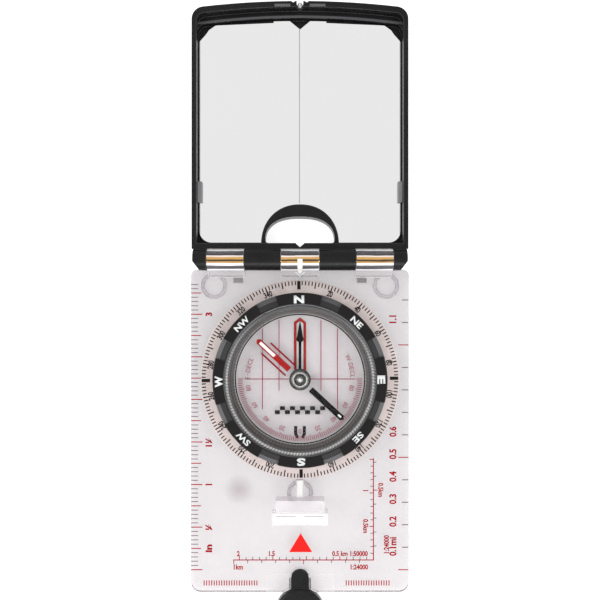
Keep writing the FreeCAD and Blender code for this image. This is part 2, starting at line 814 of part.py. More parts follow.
def arched_plate(half_width, rise, power, near_y, z_low, z_high):
    """A plate with a straight foot and an arched outline."""
    left = point(-half_width, near_y, z_low)
    right = point(half_width, near_y, z_low)
    edges = [arch_curve(half_width, rise, power, near_y, z_low), Part.makeLine(left, right)]
    return Part.Face(Part.Wire(edges)).extrude(point(0, 0, z_high - z_low))


def sight_window():
    """The opening through the lid, straight along its hinge side and arched along the other."""
    spring_y = WINDOW_NEAR_Y + WINDOW_CORNER_R
    z_low = LID_BACK - OVER
    arch = arched_plate(WINDOW_HALF_WIDTH, WINDOW_RISE, WINDOW_POWER, spring_y, z_low, LID_RIM)
    inset = WINDOW_HALF_WIDTH - WINDOW_CORNER_R
    foot = block(-inset, inset, WINDOW_NEAR_Y, spring_y, z_low, LID_RIM)
    corner = disc(WINDOW_CORNER_R, z_low, LID_RIM, inset, spring_y)
    return fuse_all([arch, foot] + mirrored_pair(corner).Solids)


def sighting_notch():
    """The upright slot in the far rim and the shallower groove that leads to it."""
    round_y = NOTCH_NEAR_Y + NOTCH_HALF_WIDTH
    slot = block(-NOTCH_HALF_WIDTH, NOTCH_HALF_WIDTH, round_y, LID_FAR_Y + OVER, NOTCH_BOTTOM, LID_RIM + OVER)
    end = disc(NOTCH_HALF_WIDTH, NOTCH_BOTTOM, LID_RIM + OVER, 0, round_y)
    groove = block(
        -GROOVE_HALF_WIDTH,
        GROOVE_HALF_WIDTH,
        LID_FAR_Y - LID_FAR_WALL - OVER,
        round_y,
        GROOVE_BOTTOM,
        LID_RIM + OVER,
    )
    return fuse_all([slot, end, groove])


def ear_cut():
    """A shallow V beside the sighting notch."""
    corners = [
        (EAR_CUT_X - EAR_CUT_HALF_WIDTH, LID_FAR_Y + OVER),
        (EAR_CUT_X - EAR_CUT_HALF_WIDTH, LID_FAR_Y),
        (EAR_CUT_X, LID_FAR_Y - EAR_CUT_DEPTH),
        (EAR_CUT_X + EAR_CUT_HALF_WIDTH, LID_FAR_Y),
        (EAR_CUT_X + EAR_CUT_HALF_WIDTH, LID_FAR_Y + OVER),
    ]
    return plate(corners, LID_BACK - OVER, LID_RIM + OVER)


def lid_shell():
    outer = bowed_plate(LID_HALF_WIDTH, LID_NEAR_Y, LID_FAR_Y, LID_FAR_BOW, LID_BACK, LID_RIM)
    outer = rounded_uprights(outer, LID_CORNER_R, (LID_NEAR_Y + LID_FAR_Y) / 2)
    outer = outer.makeChamfer(LID_EDGE_CHAMFER, edges_at_height(outer, LID_BACK))
    inner_half_width = LID_HALF_WIDTH - LID_WALL
    inner_near_y = LID_NEAR_Y + LID_NEAR_WALL
    inner_far_y = LID_FAR_Y - LID_FAR_WALL
    middle_y = (LID_NEAR_Y + LID_FAR_Y) / 2
    tray = bowed_plate(inner_half_width, inner_near_y, inner_far_y, LID_FAR_BOW, LID_LEDGE, LID_RIM + OVER)
    tray = rounded_uprights(tray, LID_INNER_CORNER_R, middle_y)
    ledge_y = inner_far_y - LID_LEDGE_WIDTH
    bed = bowed_plate(inner_half_width, inner_near_y, ledge_y, LID_FAR_BOW, LID_FLOOR, LID_LEDGE)
    bed = rounded_uprights(bed, LID_INNER_CORNER_R, middle_y)
    panel_half_width = LID_HALF_WIDTH - LID_BACK_RIM
    panel_far_y = LID_FAR_Y - LID_BACK_RIM
    panel_near_y = WINDOW_NEAR_Y + WINDOW_CORNER_R + WINDOW_RISE + LID_BACK_RIM
    panel = bowed_plate(panel_half_width, panel_near_y, panel_far_y, LID_FAR_BOW, LID_BACK - OVER, LID_BACK_PANEL)
    panel = rounded_uprights(panel, LID_INNER_CORNER_R, LID_NEAR_Y)
    shell = outer.cut(tray).cut(bed).cut(panel)
    frame = arched_plate(FRAME_HALF_WIDTH, FRAME_RISE, FRAME_POWER, inner_near_y, LID_FLOOR, FRAME_TOP)
    knuckle_starts = ((INNER_SPLIT_X, MIDDLE_SPLIT_X), (-MIDDLE_SPLIT_X, -INNER_SPLIT_X))
    knuckles = [lid_knuckle(low + KNUCKLE_GAP, high - KNUCKLE_GAP) for low, high in knuckle_starts]
    lugs = mirrored_pair(lid_lug()).Solids
    shell = fuse_all([shell, frame] + knuckles + lugs)
    shell = shell.cut(sight_window())
    sight_v = [
        (-SIGHT_V_HALF_WIDTH, WINDOW_NEAR_Y + WINDOW_CORNER_R),
        (-SIGHT_V_HALF_WIDTH, inner_near_y),
        (0, SIGHT_V_TIP_Y),
        (SIGHT_V_HALF_WIDTH, inner_near_y),
        (SIGHT_V_HALF_WIDTH, WINDOW_NEAR_Y + WINDOW_CORNER_R),
    ]
    shell = shell.cut(plate(sight_v, LID_BACK - OVER, LID_RIM + OVER))
    shell = shell.cut(sighting_notch())
    shell = shell.cut(mirrored_pair(ear_cut()))
    return shell.cut(rod(PIN_BORE_R, -PIN_HALF_LENGTH - KNUCKLE_GAP, PIN_HALF_LENGTH + KNUCKLE_GAP))


def rim_pads():
    pad = block(PAD_START_X, PAD_END_X, PAD_NEAR_Y, PAD_FAR_Y, LID_RIM, LID_RIM + PAD_RISE)
    return mirrored_pair(pad)


def sight_bead():
    stem = disc(BEAD_R, NOTCH_BOTTOM, BEAD_TOP - BEAD_R, 0, BEAD_Y)
    dome = Part.makeSphere(BEAD_R, point(0, BEAD_Y, BEAD_TOP - BEAD_R))
    return fuse_all([stem, dome])


def mirror():
    right_side = [
        (MIRROR_V_HALF_WIDTH, MIRROR_FAR_Y),
        (MIRROR_STEP_X, MIRROR_FAR_Y),
        (MIRROR_STEP_X, MIRROR_STEP_Y),
        (MIRROR_SHOULDER_X, MIRROR_SHOULDER_Y),
        MIRROR_CORNER[1],
        MIRROR_CORNER[0],
        (MIRROR_HALF_WIDTH, MIRROR_SIDE_END_Y),
        (MIRROR_HALF_WIDTH, MIRROR_NEAR_Y),
    ]
    left_side = [(-x, y) for x, y in reversed(right_side)]
    corners = [(0, MIRROR_V_TIP_Y)] + right_side + left_side
    glass = plate(corners, LID_FLOOR, MIRROR_TOP)
    rounding = rounded_plate(
        [
            (-MIRROR_HALF_WIDTH, MIRROR_NEAR_Y, MIRROR_NEAR_CORNER),
            (MIRROR_HALF_WIDTH, MIRROR_NEAR_Y, MIRROR_NEAR_CORNER),
            (MIRROR_HALF_WIDTH, LID_FAR_Y, MIRROR_NEAR_CORNER),
            (-MIRROR_HALF_WIDTH, LID_FAR_Y, MIRROR_NEAR_CORNER),
        ],
        LID_FLOOR,
        MIRROR_TOP,
    )
    arch = arched_plate(
        FRAME_HALF_WIDTH + MIRROR_ARCH_GAP,
        FRAME_RISE + MIRROR_ARCH_GAP,
        FRAME_POWER,
        LID_NEAR_Y + LID_NEAR_WALL,
        LID_FLOOR - OVER,
        MIRROR_TOP + OVER,
    )
    return glass.common(rounding).cut(arch)


def mirror_clips():
    wall_x = LID_HALF_WIDTH - LID_WALL
    return mirrored_pair(block(CLIP_INNER_X, wall_x, CLIP_NEAR_Y, CLIP_FAR_Y, CLIP_BOTTOM, CLIP_TOP))


def lanyard_fitting():
    button = disc(BUTTON_R, BUTTON_BOTTOM, BUTTON_TOP, 0, BUTTON_Y)
    rims = edges_at_height(button, BUTTON_BOTTOM) + edges_at_height(button, BUTTON_TOP)
    button = button.makeFillet(BUTTON_ROUND, rims)
    shape = fuse_all([button, tongue_space(0)])
    return shape.cut(disc(CORD_EYE_R, BUTTON_BOTTOM - OVER, BUTTON_TOP + OVER, 0, CORD_EYE_Y))


os.makedirs("parts", exist_ok=True)

save("baseplate", baseplate())
save("silicone_feet", Part.makeCompound(feet()))
save("magnifier_lens", magnifier_lens())
save("hinge_pin", rod(PIN_R, -PIN_HALF_LENGTH, PIN_HALF_LENGTH))
save("north_index", north_index())
save("south_index", south_index())
save("lid_catch", lid_catch())
save("catch_rest", catch_rest())

save("lid_shell", lid_shell())
save("mirror", mirror())
save("mirror_clips", mirror_clips())
save("rim_pads", rim_pads())
save("sight_bead", sight_bead())

save("bezel_flange", bezel_flange())
save("grip_ring", grip_ring())
save("toothed_ring", toothed_ring())
save("capsule_cup", capsule_cup())
save("capsule_liner", capsule_liner())
save("capsule_window", disc(WINDOW_R, WINDOW_BOTTOM, WINDOW_TOP))
save("bottom_window", bottom_window())
save("pivot_post", pivot_post())

save("orienting_disc", orienting_disc())
save("adjusting_screw", adjusting_screw())

save("clinometer_pointer", clinometer_pointer())
save("clinometer_collar", ring(COLLAR_R, COLLAR_BORE_R, COLLAR_BOTTOM, COLLAR_TOP))

north_slot = (NORTH_SLOT_HALF_WIDTH, NORTH_SLOT_START, NORTH_SLOT_END)
south_slot = (SOUTH_SLOT_HALF_WIDTH, SOUTH_SLOT_START, SOUTH_SLOT_END)
north_half = needle_half(NORTH_HALF_WIDTH, NORTH_SHOULDER, NORTH_TIP).cut(needle_slot(*north_slot, 0))
south_half = needle_half(SOUTH_HALF_WIDTH, SOUTH_SHOULDER, SOUTH_TIP).cut(needle_slot(*south_slot, 0))
save("needle_north", at_bearing(north_half, NEEDLE_BEARING_DEG))
save("needle_south", at_bearing(south_half, NEEDLE_BEARING_DEG + 180.0))
save("north_lume", at_bearing(needle_slot(*north_slot, LUME_GAP), NEEDLE_BEARING_DEG))
save("south_lume", at_bearing(needle_slot(*south_slot, LUME_GAP), NEEDLE_BEARING_DEG + 180.0))
save("needle_vane", at_bearing(needle_vane(), NEEDLE_BEARING_DEG))
save("needle_hub", needle_hub())
save("jewel", jewel())

save("lanyard_fitting", lanyard_fitting())
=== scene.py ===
import math

import bmesh
import bpy
from mathutils import Matrix, Vector


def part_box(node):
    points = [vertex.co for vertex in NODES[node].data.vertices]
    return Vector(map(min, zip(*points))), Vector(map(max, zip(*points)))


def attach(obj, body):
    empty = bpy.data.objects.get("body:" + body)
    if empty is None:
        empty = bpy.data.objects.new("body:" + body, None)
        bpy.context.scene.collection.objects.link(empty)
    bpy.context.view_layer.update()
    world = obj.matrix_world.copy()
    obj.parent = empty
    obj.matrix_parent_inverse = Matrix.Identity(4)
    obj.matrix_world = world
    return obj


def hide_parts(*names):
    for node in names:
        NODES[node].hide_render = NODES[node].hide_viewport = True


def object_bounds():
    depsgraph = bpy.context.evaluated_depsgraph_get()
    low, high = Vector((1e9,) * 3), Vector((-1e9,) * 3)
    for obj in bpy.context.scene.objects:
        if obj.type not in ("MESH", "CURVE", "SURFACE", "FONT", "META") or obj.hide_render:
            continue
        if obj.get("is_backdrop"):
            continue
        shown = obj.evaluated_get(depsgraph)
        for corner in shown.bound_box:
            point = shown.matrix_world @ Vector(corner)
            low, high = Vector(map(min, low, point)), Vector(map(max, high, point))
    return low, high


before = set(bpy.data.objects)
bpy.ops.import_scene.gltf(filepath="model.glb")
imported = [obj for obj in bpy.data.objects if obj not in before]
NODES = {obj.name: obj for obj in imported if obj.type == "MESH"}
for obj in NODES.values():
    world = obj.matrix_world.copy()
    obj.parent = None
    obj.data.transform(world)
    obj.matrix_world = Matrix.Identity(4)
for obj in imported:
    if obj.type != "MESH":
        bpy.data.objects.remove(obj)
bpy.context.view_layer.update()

# Lengths in the drawing helpers are millimetres from the capsule's axis, as on the real
# compass; everything placed in the scene is in metres.
MM = 0.001


def middle(node):
    low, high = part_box(node)
    return (low + high) / 2


def top_of(node):
    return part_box(node)[1].z


def bottom_of(node):
    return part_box(node)[0].z


AXIS = middle("capsule_window")
BASE_LOW, BASE_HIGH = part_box("baseplate")
BASE_TOP = bottom_of("lid_catch")
INK_DEPTH = 0.02 * MM
BEZEL_TURN = 0.7
NEEDLE_BEARING = -47.3
KNUCKLE_R = 3.05
DIAL_DEPTH = 6.0 * MM
DIAL_Z = top_of("capsule_cup") - DIAL_DEPTH
WHITE = (1.0, 1.0, 1.0, 1.0)
BLACK = (0.0, 0.0, 0.0, 1.0)

# The painted highlight on the lid's curved ledge: centre and radius of its arc, width and height
LEDGE_CENTRE_Y = AXIS.y - 121.6 * MM
LEDGE_R = 228.3 * MM
LEDGE_WIDTH = 0.8 * MM
LEDGE_Z = 5.7 * MM
LEDGE_FADE = 0.15 * MM
# It fades out between these distances above and below that height
LEDGE_NEAR = 0.1 * MM
LEDGE_FAR = 0.2 * MM

# Radii of the liner's turned grooves, whose light and shade is painted, and where painted shade darkens the
# toothed ring towards the lid
LINER_INNER_R = 19.6 * MM
LINER_OUTER_R = 20.6 * MM
SHADE_START_Y = AXIS.y + 4 * MM
SHADE_END_Y = AXIS.y + 19 * MM


# ---------------------------------------------------------------- materials


def linear(hex_colour):
    """A colour written as RRGGBB, as the linear values that shaders take."""
    channels = []
    for i in (0, 2, 4):
        value = int(hex_colour[i:i + 2], 16) / 255
        channels.append(value / 12.92 if value <= 0.04045 else ((value + 0.055) / 1.055) ** 2.4)
    return (*channels, 1.0)


class Shader:
    """A material under construction, with its textures in the piece's own coordinates."""

    def __init__(self, name):
        self.material = bpy.data.materials.new(name)
        self.material.use_nodes = True
        self.tree = self.material.node_tree
        self.tree.nodes.clear()
        self.output = self.node("ShaderNodeOutputMaterial")
        self.place = self.node("ShaderNodeTexCoord").outputs["Object"]

    def node(self, kind, **settings):
        made = self.tree.nodes.new(kind)
        for key, value in settings.items():
            setattr(made, key, value)
        return made

    def link(self, source, target):
        self.tree.links.new(source, target)

    def noise(self, scale, detail=3.0, roughness=0.5, stretch=(1, 1, 1)):
        mapping = self.node("ShaderNodeMapping")
        mapping.inputs["Scale"].default_value = stretch
        self.link(self.place, mapping.inputs["Vector"])
        made = self.node("ShaderNodeTexNoise")
        made.inputs["Scale"].default_value = scale
        made.inputs["Detail"].default_value = detail
        made.inputs["Roughness"].default_value = roughness
        self.link(mapping.outputs["Vector"], made.inputs["Vector"])
        return made.outputs["Fac"]

    def remap(self, value, low, high, to_low, to_high):
        made = self.node("ShaderNodeMapRange")
        made.inputs["From Min"].default_value = low
        made.inputs["From Max"].default_value = high
        made.inputs["To Min"].default_value = to_low
        made.inputs["To Max"].default_value = to_high
        self.link(value, made.inputs["Value"])
        return made.outputs["Result"]

    def blend(self, share, first, second):
        """Mixes two colours, each a tuple or a socket."""
        made = self.node("ShaderNodeMix", data_type="RGBA")
        self.link(share, made.inputs["Factor"])
        for socket, colour in ((made.inputs[6], first), (made.inputs[7], second)):
            if isinstance(colour, tuple):
                socket.default_value = colour
            else:
                self.link(colour, socket)
        return made.outputs[2]

    def edges(self, radius):
        """Near 1 on sharp edges and 0 on flats."""
        bevel = self.node("ShaderNodeBevel", samples=4)
        bevel.inputs["Radius"].default_value = radius
        flat = self.node("ShaderNodeNewGeometry").outputs["Normal"]
        dot = self.node("ShaderNodeVectorMath", operation="DOT_PRODUCT")
        self.link(bevel.outputs["Normal"], dot.inputs[0])
        self.link(flat, dot.inputs[1])
        return self.remap(dot.outputs["Value"], 1.0, 0.96, 0.0, 1.0)

    def along(self, axis, low, high):
        """Goes from 0 to 1 between two places on an axis, 0 being X, 1 being Y and 2 being Z."""
        split = self.node("ShaderNodeSeparateXYZ")
        self.link(self.place, split.inputs["Vector"])
        return self.remap(split.outputs[axis], low, high, 0.0, 1.0)

    def combine(self, kind, first, second):
        """The product, sum or larger of two values, each a number or a socket."""
        made = self.node("ShaderNodeMath", operation=kind)
        for socket, value in ((made.inputs[0], first), (made.inputs[1], second)):
            if isinstance(value, float):
                socket.default_value = value
            else:
                self.link(value, socket)
        return made.outputs["Value"]

    def slopes(self):
        """Near 1 on faces that lean about halfway, and 0 on level and steep ones."""
        normal = self.node("ShaderNodeTexCoord").outputs["Normal"]
        split = self.node("ShaderNodeSeparateXYZ")
        self.link(normal, split.inputs["Vector"])
        below_level = self.remap(split.outputs["Z"], 0.995, 0.8, 0.0, 1.0)
        above_steep = self.remap(split.outputs["Z"], 0.56, 0.62, 0.0, 1.0)
        return self.combine("MULTIPLY", below_level, above_steep)

    def crest(self):
        """Near 1 along the top of a level rod."""
        normal = self.node("ShaderNodeTexCoord").outputs["Normal"]
        split = self.node("ShaderNodeSeparateXYZ")
        self.link(normal, split.inputs["Vector"])
        return self.remap(split.outputs["Z"], 0.982, 0.994, 0.0, 1.0)

    def away(self, x, y):
        """The level distance from an upright axis."""
        flat = self.node("ShaderNodeVectorMath", operation="MULTIPLY")
        self.link(self.place, flat.inputs[0])
        flat.inputs[1].default_value = (1.0, 1.0, 0.0)
        made = self.node("ShaderNodeVectorMath", operation="DISTANCE")
        self.link(flat.outputs["Vector"], made.inputs[0])
        made.inputs[1].default_value = (x, y, 0.0)
        return made.outputs["Value"]

    def ramp(self, share, stops):
        """A colour from a row of places from 0 to 1 and colours."""
        made = self.node("ShaderNodeValToRGB")
        self.link(share, made.inputs["Fac"])
        slots = made.color_ramp.elements
        while len(slots) < len(stops):
            slots.new(0.5)
        for slot, (place, colour) in zip(slots, stops):
            slot.position = place
            slot.color = linear(colour)
        return made.outputs["Color"]

    def spokes(self, count):
        """A wave that runs round the capsule's axis, from -1 to 1."""
        shift = self.node("ShaderNodeVectorMath", operation="SUBTRACT")
        self.link(self.place, shift.inputs[0])
        shift.inputs[1].default_value = (AXIS.x, AXIS.y, 0.0)
        split = self.node("ShaderNodeSeparateXYZ")
        self.link(shift.outputs["Vector"], split.inputs["Vector"])
        angle = self.node("ShaderNodeMath", operation="ARCTAN2")
        self.link(split.outputs["Y"], angle.inputs[0])
        self.link(split.outputs["X"], angle.inputs[1])
        turns = self.node("ShaderNodeMath", operation="MULTIPLY")
        self.link(angle.outputs["Value"], turns.inputs[0])
        turns.inputs[1].default_value = count
        wave = self.node("ShaderNodeMath", operation="SINE")
        self.link(turns.outputs["Value"], wave.inputs[0])
        return wave.outputs["Value"]

    def bump(self, height, depth, soften=0.0):
        made = self.node("ShaderNodeBump")
        made.inputs["Strength"].default_value = 1.0
        made.inputs["Distance"].default_value = depth
        self.link(height, made.inputs["Height"])
        if soften:
            bevel = self.node("ShaderNodeBevel", samples=4)
            bevel.inputs["Radius"].default_value = soften
            self.link(bevel.outputs["Normal"], made.inputs["Normal"])
        return made.outputs["Normal"]

    def mix(self, share, first, second):
        """Mixes two shaders."""
        made = self.node("ShaderNodeMixShader")
        self.link(share, made.inputs["Fac"])
        self.link(first, made.inputs[1])
        self.link(second, made.inputs[2])
        return made.outputs["Shader"]

    def finish(self, surface):
        self.link(surface, self.output.inputs["Surface"])
        return self.material


def solid(
    name,
    colour,
    roughness=0.45,
    metallic=0.0,
    patch=0.12,
    patch_scale=180.0,
    grain_scale=3000.0,
    grain_depth=0.01 * MM,
    edge_wear_and_shading=None,
    edge_wear_and_shading_share=0.5,
    soften=0.12 * MM,
    stretch=(1, 1, 1),
    coat=0.0,
    specular=0.5,
    slopes=None,
    spokes=0,
    spoke_shade=0.35,
    crest=None,
    far_shade=None,
    rings=None,
    ledge_highlight=None,
):
    """An opaque material: patchy colour, edges tinted for wear and painted light, uneven roughness and a
    fine grain.

    slopes, crest, far_shade, ledge_highlight and edge_wear_and_shading are colours
    for those places: painted highlights on faces that lean halfway, a painted dark reflection along a
    rod's top, painted shade towards the lid, a painted highlight along the lid's step, and edges tinted
    for wear and painted light. rings is a row of (place, colour) across the liner's grooves, painting
    their light and shade, and spokes paints shade between that many teeth.
    """
    shader = Shader(name)
    principled = shader.node("ShaderNodeBsdfPrincipled")
    base = linear(colour)
    darker = tuple(channel * (1 - patch) for channel in base[:3]) + (1.0,)
    lighter = tuple(min(1.0, channel * (1 + patch)) for channel in base[:3]) + (1.0,)
    clouds = shader.noise(patch_scale, 4.0, 0.55, stretch)
    tint = shader.blend(shader.remap(clouds, 0.3, 0.7, 0.0, 1.0), darker, lighter)
    # Painted highlight on faces that lean about halfway
    if slopes:
        tint = shader.blend(shader.slopes(), tint, linear(slopes))
    # Painted light and shade of the liner's turned grooves, in rings round the axis
    if rings:
        share = shader.remap(shader.away(AXIS.x, AXIS.y), LINER_INNER_R, LINER_OUTER_R, 0.0, 1.0)
        strength = shader.remap(clouds, 0.3, 0.7, 0.75, 0.95)
        tint = shader.blend(strength, tint, shader.ramp(share, rings))
    # Painted highlight: a light line along the lid's curved ledge, on level faces at its height
    if ledge_highlight:
        distance = shader.away(AXIS.x, LEDGE_CENTRE_Y)
        outer = LEDGE_R + LEDGE_WIDTH
        outside = shader.remap(distance, LEDGE_R, LEDGE_R + LEDGE_FADE, 0.0, 1.0)
        inside = shader.remap(distance, outer - LEDGE_FADE, outer, 1.0, 0.0)
        level = shader.along(2, LEDGE_Z + LEDGE_FAR, LEDGE_Z + LEDGE_NEAR)
        raised = shader.along(2, LEDGE_Z - LEDGE_FAR, LEDGE_Z - LEDGE_NEAR)
        band = shader.combine("MULTIPLY", shader.combine("MULTIPLY", outside, inside), level)
        tint = shader.blend(shader.combine("MULTIPLY", band, raised), tint, linear(ledge_highlight))
    # Painted shade between teeth, in a wave round the axis
    if spokes:
        share = shader.remap(shader.spokes(spokes), -1.0, 1.0, 0.0, spoke_shade)
        tint = shader.blend(share, tint, BLACK)
    # Painted dark reflection along the top of a level rod
    if crest:
        tint = shader.blend(shader.crest(), tint, linear(crest))
    # Painted shade: darker towards the lid
    if far_shade:
        tint = shader.blend(shader.along(1, SHADE_START_Y, SHADE_END_Y), tint, linear(far_shade))
    # Edges tinted for wear and as painted light: lighter on the black plastics
    if edge_wear_and_shading:
        share = shader.remap(shader.edges(0.2 * MM), 0.0, 1.0, 0.0, edge_wear_and_shading_share)
        tint = shader.blend(share, tint, linear(edge_wear_and_shading))
    shader.link(tint, principled.inputs["Base Color"])
    scuffs = shader.noise(patch_scale * 3, 5.0, 0.6, stretch)
    rough = shader.remap(scuffs, 0.3, 0.7, max(0.02, roughness - 0.08), roughness + 0.08)
    shader.link(rough, principled.inputs["Roughness"])
    grain = shader.noise(grain_scale, 2.0, 0.5, stretch)
    shader.link(shader.bump(grain, grain_depth, soften), principled.inputs["Normal"])
    principled.inputs["Metallic"].default_value = metallic
    principled.inputs["Coat Weight"].default_value = coat
    principled.inputs["Specular IOR Level"].default_value = specular
    return shader.finish(principled.outputs["BSDF"])


def printed(name, colour, roughness, patch, specular=0.1):
    """Printing ink, whose edges aren't softened."""
    return solid(name, colour, roughness, patch=patch, soften=0.0, specular=specular)


def clear(
    name,
    tint,
    shade_towards_lid=None,
    roughness=0.01,
    haze=0.08,
    haze_colour="E8E4E8",
    gloss=1.0,
    edge_highlight=0.0,
    reflection_stripes=None,
):
    """Clear plastic: tinted glass that lets the lamps through, with a little uneven haze, and where asked
    painted shade towards the lid, painted edge highlights and painted reflections on the knuckles.
    """
    shader = Shader(name)
    colour = linear(tint)
    glass = shader.node("ShaderNodeBsdfPrincipled")
    glass.inputs["Base Color"].default_value = colour
    # Painted shade: the plate darkens towards the lid's end
    if shade_towards_lid:
        towards_lid = shader.along(1, BASE_LOW.y, BASE_HIGH.y)
        shader.link(shader.blend(towards_lid, colour, linear(shade_towards_lid)), glass.inputs["Base Color"])
    glass.inputs["Transmission Weight"].default_value = 1.0
    glass.inputs["IOR"].default_value = 1.49
    glass.inputs["Specular Tint"].default_value = (gloss, gloss, gloss, 1.0)
    smears = shader.noise(260.0, 4.0, 0.6)
    shader.link(shader.remap(smears, 0.3, 0.7, roughness * 0.4, roughness * 1.6), glass.inputs["Roughness"])
    normal = shader.bump(shader.noise(120.0, 2.0, 0.5), 0.004 * MM, 0.2 * MM)
    shader.link(normal, glass.inputs["Normal"])
    cloudy = shader.node("ShaderNodeBsdfPrincipled")
    cloudy.inputs["Base Color"].default_value = linear(haze_colour)
    cloudy.inputs["Roughness"].default_value = 0.4
    share = shader.remap(shader.noise(90.0, 3.0, 0.5), 0.3, 0.7, haze * 0.6, haze * 1.4)
    # Painted highlight: more whitish haze along the edges
    if edge_highlight:
        rim = shader.combine("MULTIPLY", shader.edges(0.3 * MM), edge_highlight)
        share = shader.combine("MAXIMUM", share, rim)
    surface = shader.mix(share, glass.outputs["BSDF"], cloudy.outputs["BSDF"])
    # Painted reflections and highlights on the hinge's clear knuckles
    if reflection_stripes:
        surface = banded(shader, surface, reflection_stripes)
    through = shader.node("ShaderNodeBsdfTransparent")
    through.inputs["Color"].default_value = tuple(channel ** 0.5 for channel in colour[:3]) + (1.0,)
    path = shader.node("ShaderNodeLightPath")
    lamps = shader.combine("MAXIMUM", path.outputs["Is Shadow Ray"], path.outputs["Is Diffuse Ray"])
    return shader.finish(shader.mix(lamps, surface, through.outputs["BSDF"]))


def banded(shader, surface, reflection_stripes):
    """Paints stripes along the hinge's clear knuckles: white painted highlights, gold for the brass pin's
    painted reflection and dark for the black lid's painted reflection, as their curved backs would show
    them.
    """
    pin = middle("hinge_pin")
    reach = KNUCKLE_R * MM
    across = shader.along(1, pin.y - reach, pin.y + reach)
    wobble = shader.remap(shader.noise(900.0, 3.0, 0.6, (0.12, 1, 1)), 0.3, 0.7, -0.02, 0.02)
    ramp = shader.node("ShaderNodeValToRGB")
    shader.link(shader.combine("ADD", across, wobble), ramp.inputs["Fac"])
    stops = ramp.color_ramp.elements
    while len(stops) < len(reflection_stripes):
        stops.new(0.5)
    for stop, (place, colour, strength) in zip(stops, reflection_stripes):
        stop.position = (place / KNUCKLE_R + 1) / 2
        stop.color = (*linear(colour)[:3], strength)
    band = shader.node("ShaderNodeBsdfPrincipled")
    shader.link(ramp.outputs["Color"], band.inputs["Base Color"])
    band.inputs["Roughness"].default_value = 0.3
    above = shader.along(2, pin.z, pin.z + 0.4 * MM)
    share = shader.combine("MULTIPLY", ramp.outputs["Alpha"], above)
    return shader.mix(share, surface, band.outputs["BSDF"])


def film(
    name,
    tint,
    haze=0.06,
    haze_colour="E8E4E8",
    centre=None,
    centre_shade="FFFFFF",
    reach=0.0,
    outline=0.0,
    edge_shade_colour="3C3A3E",
):
    """Clear stuff that doesn't bend what is seen through it, perhaps with painted shade round a centre, or
    with painted dark lines and glints along its edges.
    """
    shader = Shader(name)
    through = shader.node("ShaderNodeBsdfTransparent")
    through.inputs["Color"].default_value = linear(tint)
    # Painted shade: greyer round the centre, fading out at the reach
    if centre:
        away = shader.node("ShaderNodeVectorMath", operation="DISTANCE")
        shader.link(shader.place, away.inputs[0])
        away.inputs[1].default_value = centre
        share = shader.remap(away.outputs["Value"], 0.0, reach, 0.0, 1.0)
        shader.link(shader.blend(share, linear(centre_shade), linear(tint)), through.inputs["Color"])
    cloudy = shader.node("ShaderNodeBsdfPrincipled")
    cloudy.inputs["Base Color"].default_value = linear(haze_colour)
    cloudy.inputs["Roughness"].default_value = 0.25
    share = shader.remap(shader.noise(150.0, 3.0, 0.5), 0.3, 0.7, haze * 0.88, haze * 1.12)
    # Painted dark edge lines and white glints, standing in for light bent at the edges
    if outline:
        glints = shader.remap(shader.noise(420.0, 2.0, 0.5), 0.42, 0.58, 0.0, 1.0)
        edge_colour = shader.blend(glints, linear(edge_shade_colour), WHITE)
        edges = shader.edges(0.2 * MM)
        shader.link(shader.blend(edges, linear(haze_colour), edge_colour), cloudy.inputs["Base Color"])
        share = shader.combine("MAXIMUM", share, shader.combine("MULTIPLY", edges, outline))
    return shader.finish(shader.mix(share, through.outputs["BSDF"], cloudy.outputs["BSDF"]))


def mirror_glass(name):
    """A silvered mirror with the faintest smears."""
    shader = Shader(name)
    principled = shader.node("ShaderNodeBsdfPrincipled")
    clouds = shader.noise(40.0, 3.0, 0.5)
    tint = shader.blend(clouds, linear("FCFCFC"), linear("FFFFFF"))
    shader.link(tint, principled.inputs["Base Color"])
    principled.inputs["Metallic"].default_value = 1.0
    smears = shader.remap(shader.noise(500.0, 5.0, 0.6), 0.4, 0.8, 0.01, 0.06)
    shader.link(smears, principled.inputs["Roughness"])
    return shader.finish(principled.outputs["BSDF"])


# Painted highlights and reflections along the clear knuckles: distance from the hinge's axis towards the lid
# in millimetres, colour and strength
KNUCKLE_REFLECTIONS = (
    (-3.05, "FFFFFF", 0.85),
    (-2.75, "FFFFFF", 0.85),
    (-2.65, "2A282E", 0.9),
    (-1.8, "3C3A42", 0.85),
    (-1.65, "FFFFFF", 0.9),
    (-1.15, "FFFFFF", 0.9),
    (-1.05, "A87E38", 0.8),
    (-0.7, "C79A50", 0.8),
    (-0.6, "38240A", 0.9),
    (-0.15, "38240A", 0.9),
    (-0.05, "B98C40", 0.8),
    (0.6, "C49C5C", 0.8),
    (0.75, "EADCD8", 0.8),
    (1.05, "EADCD8", 0.8),
    (1.15, "1C1A1E", 0.9),
    (2.4, "3A383C", 0.85),
    (2.55, "F0F0F0", 0.85),
    (3.05, "FFFFFF", 0.85),
)

# The black plastics' lighter edges are wear and painted highlights
MOULDED_BLACK = {"edge_wear_and_shading": "6C6C6E", "grain_depth": 0.012 * MM, "specular": 0.16, "patch": 0.2}
BLACK_PLASTIC = solid("black_plastic", "161617", 0.3, **MOULDED_BLACK)
# The lid's black also carries a painted highlight along its ledge
LID_BLACK = solid("lid_black", "161617", 0.3, ledge_highlight="4C4C4E", **MOULDED_BLACK)
# The grip has painted highlights on its sloping recesses
BLACK_GRIP = solid(
    "black_grip", "151313", 0.5, edge_wear_and_shading="3C3A3A", edge_wear_and_shading_share=0.3, grain_depth=0.02 * MM,
    specular=0.14, slopes="5A5A5C",
)
GREY_PLASTIC = solid("grey_plastic", "7C7C7E", 0.5, edge_wear_and_shading="909092")
PAD_PLASTIC = solid("pad_plastic", "525254", 0.5, edge_wear_and_shading="6C6C6E", specular=0.2)
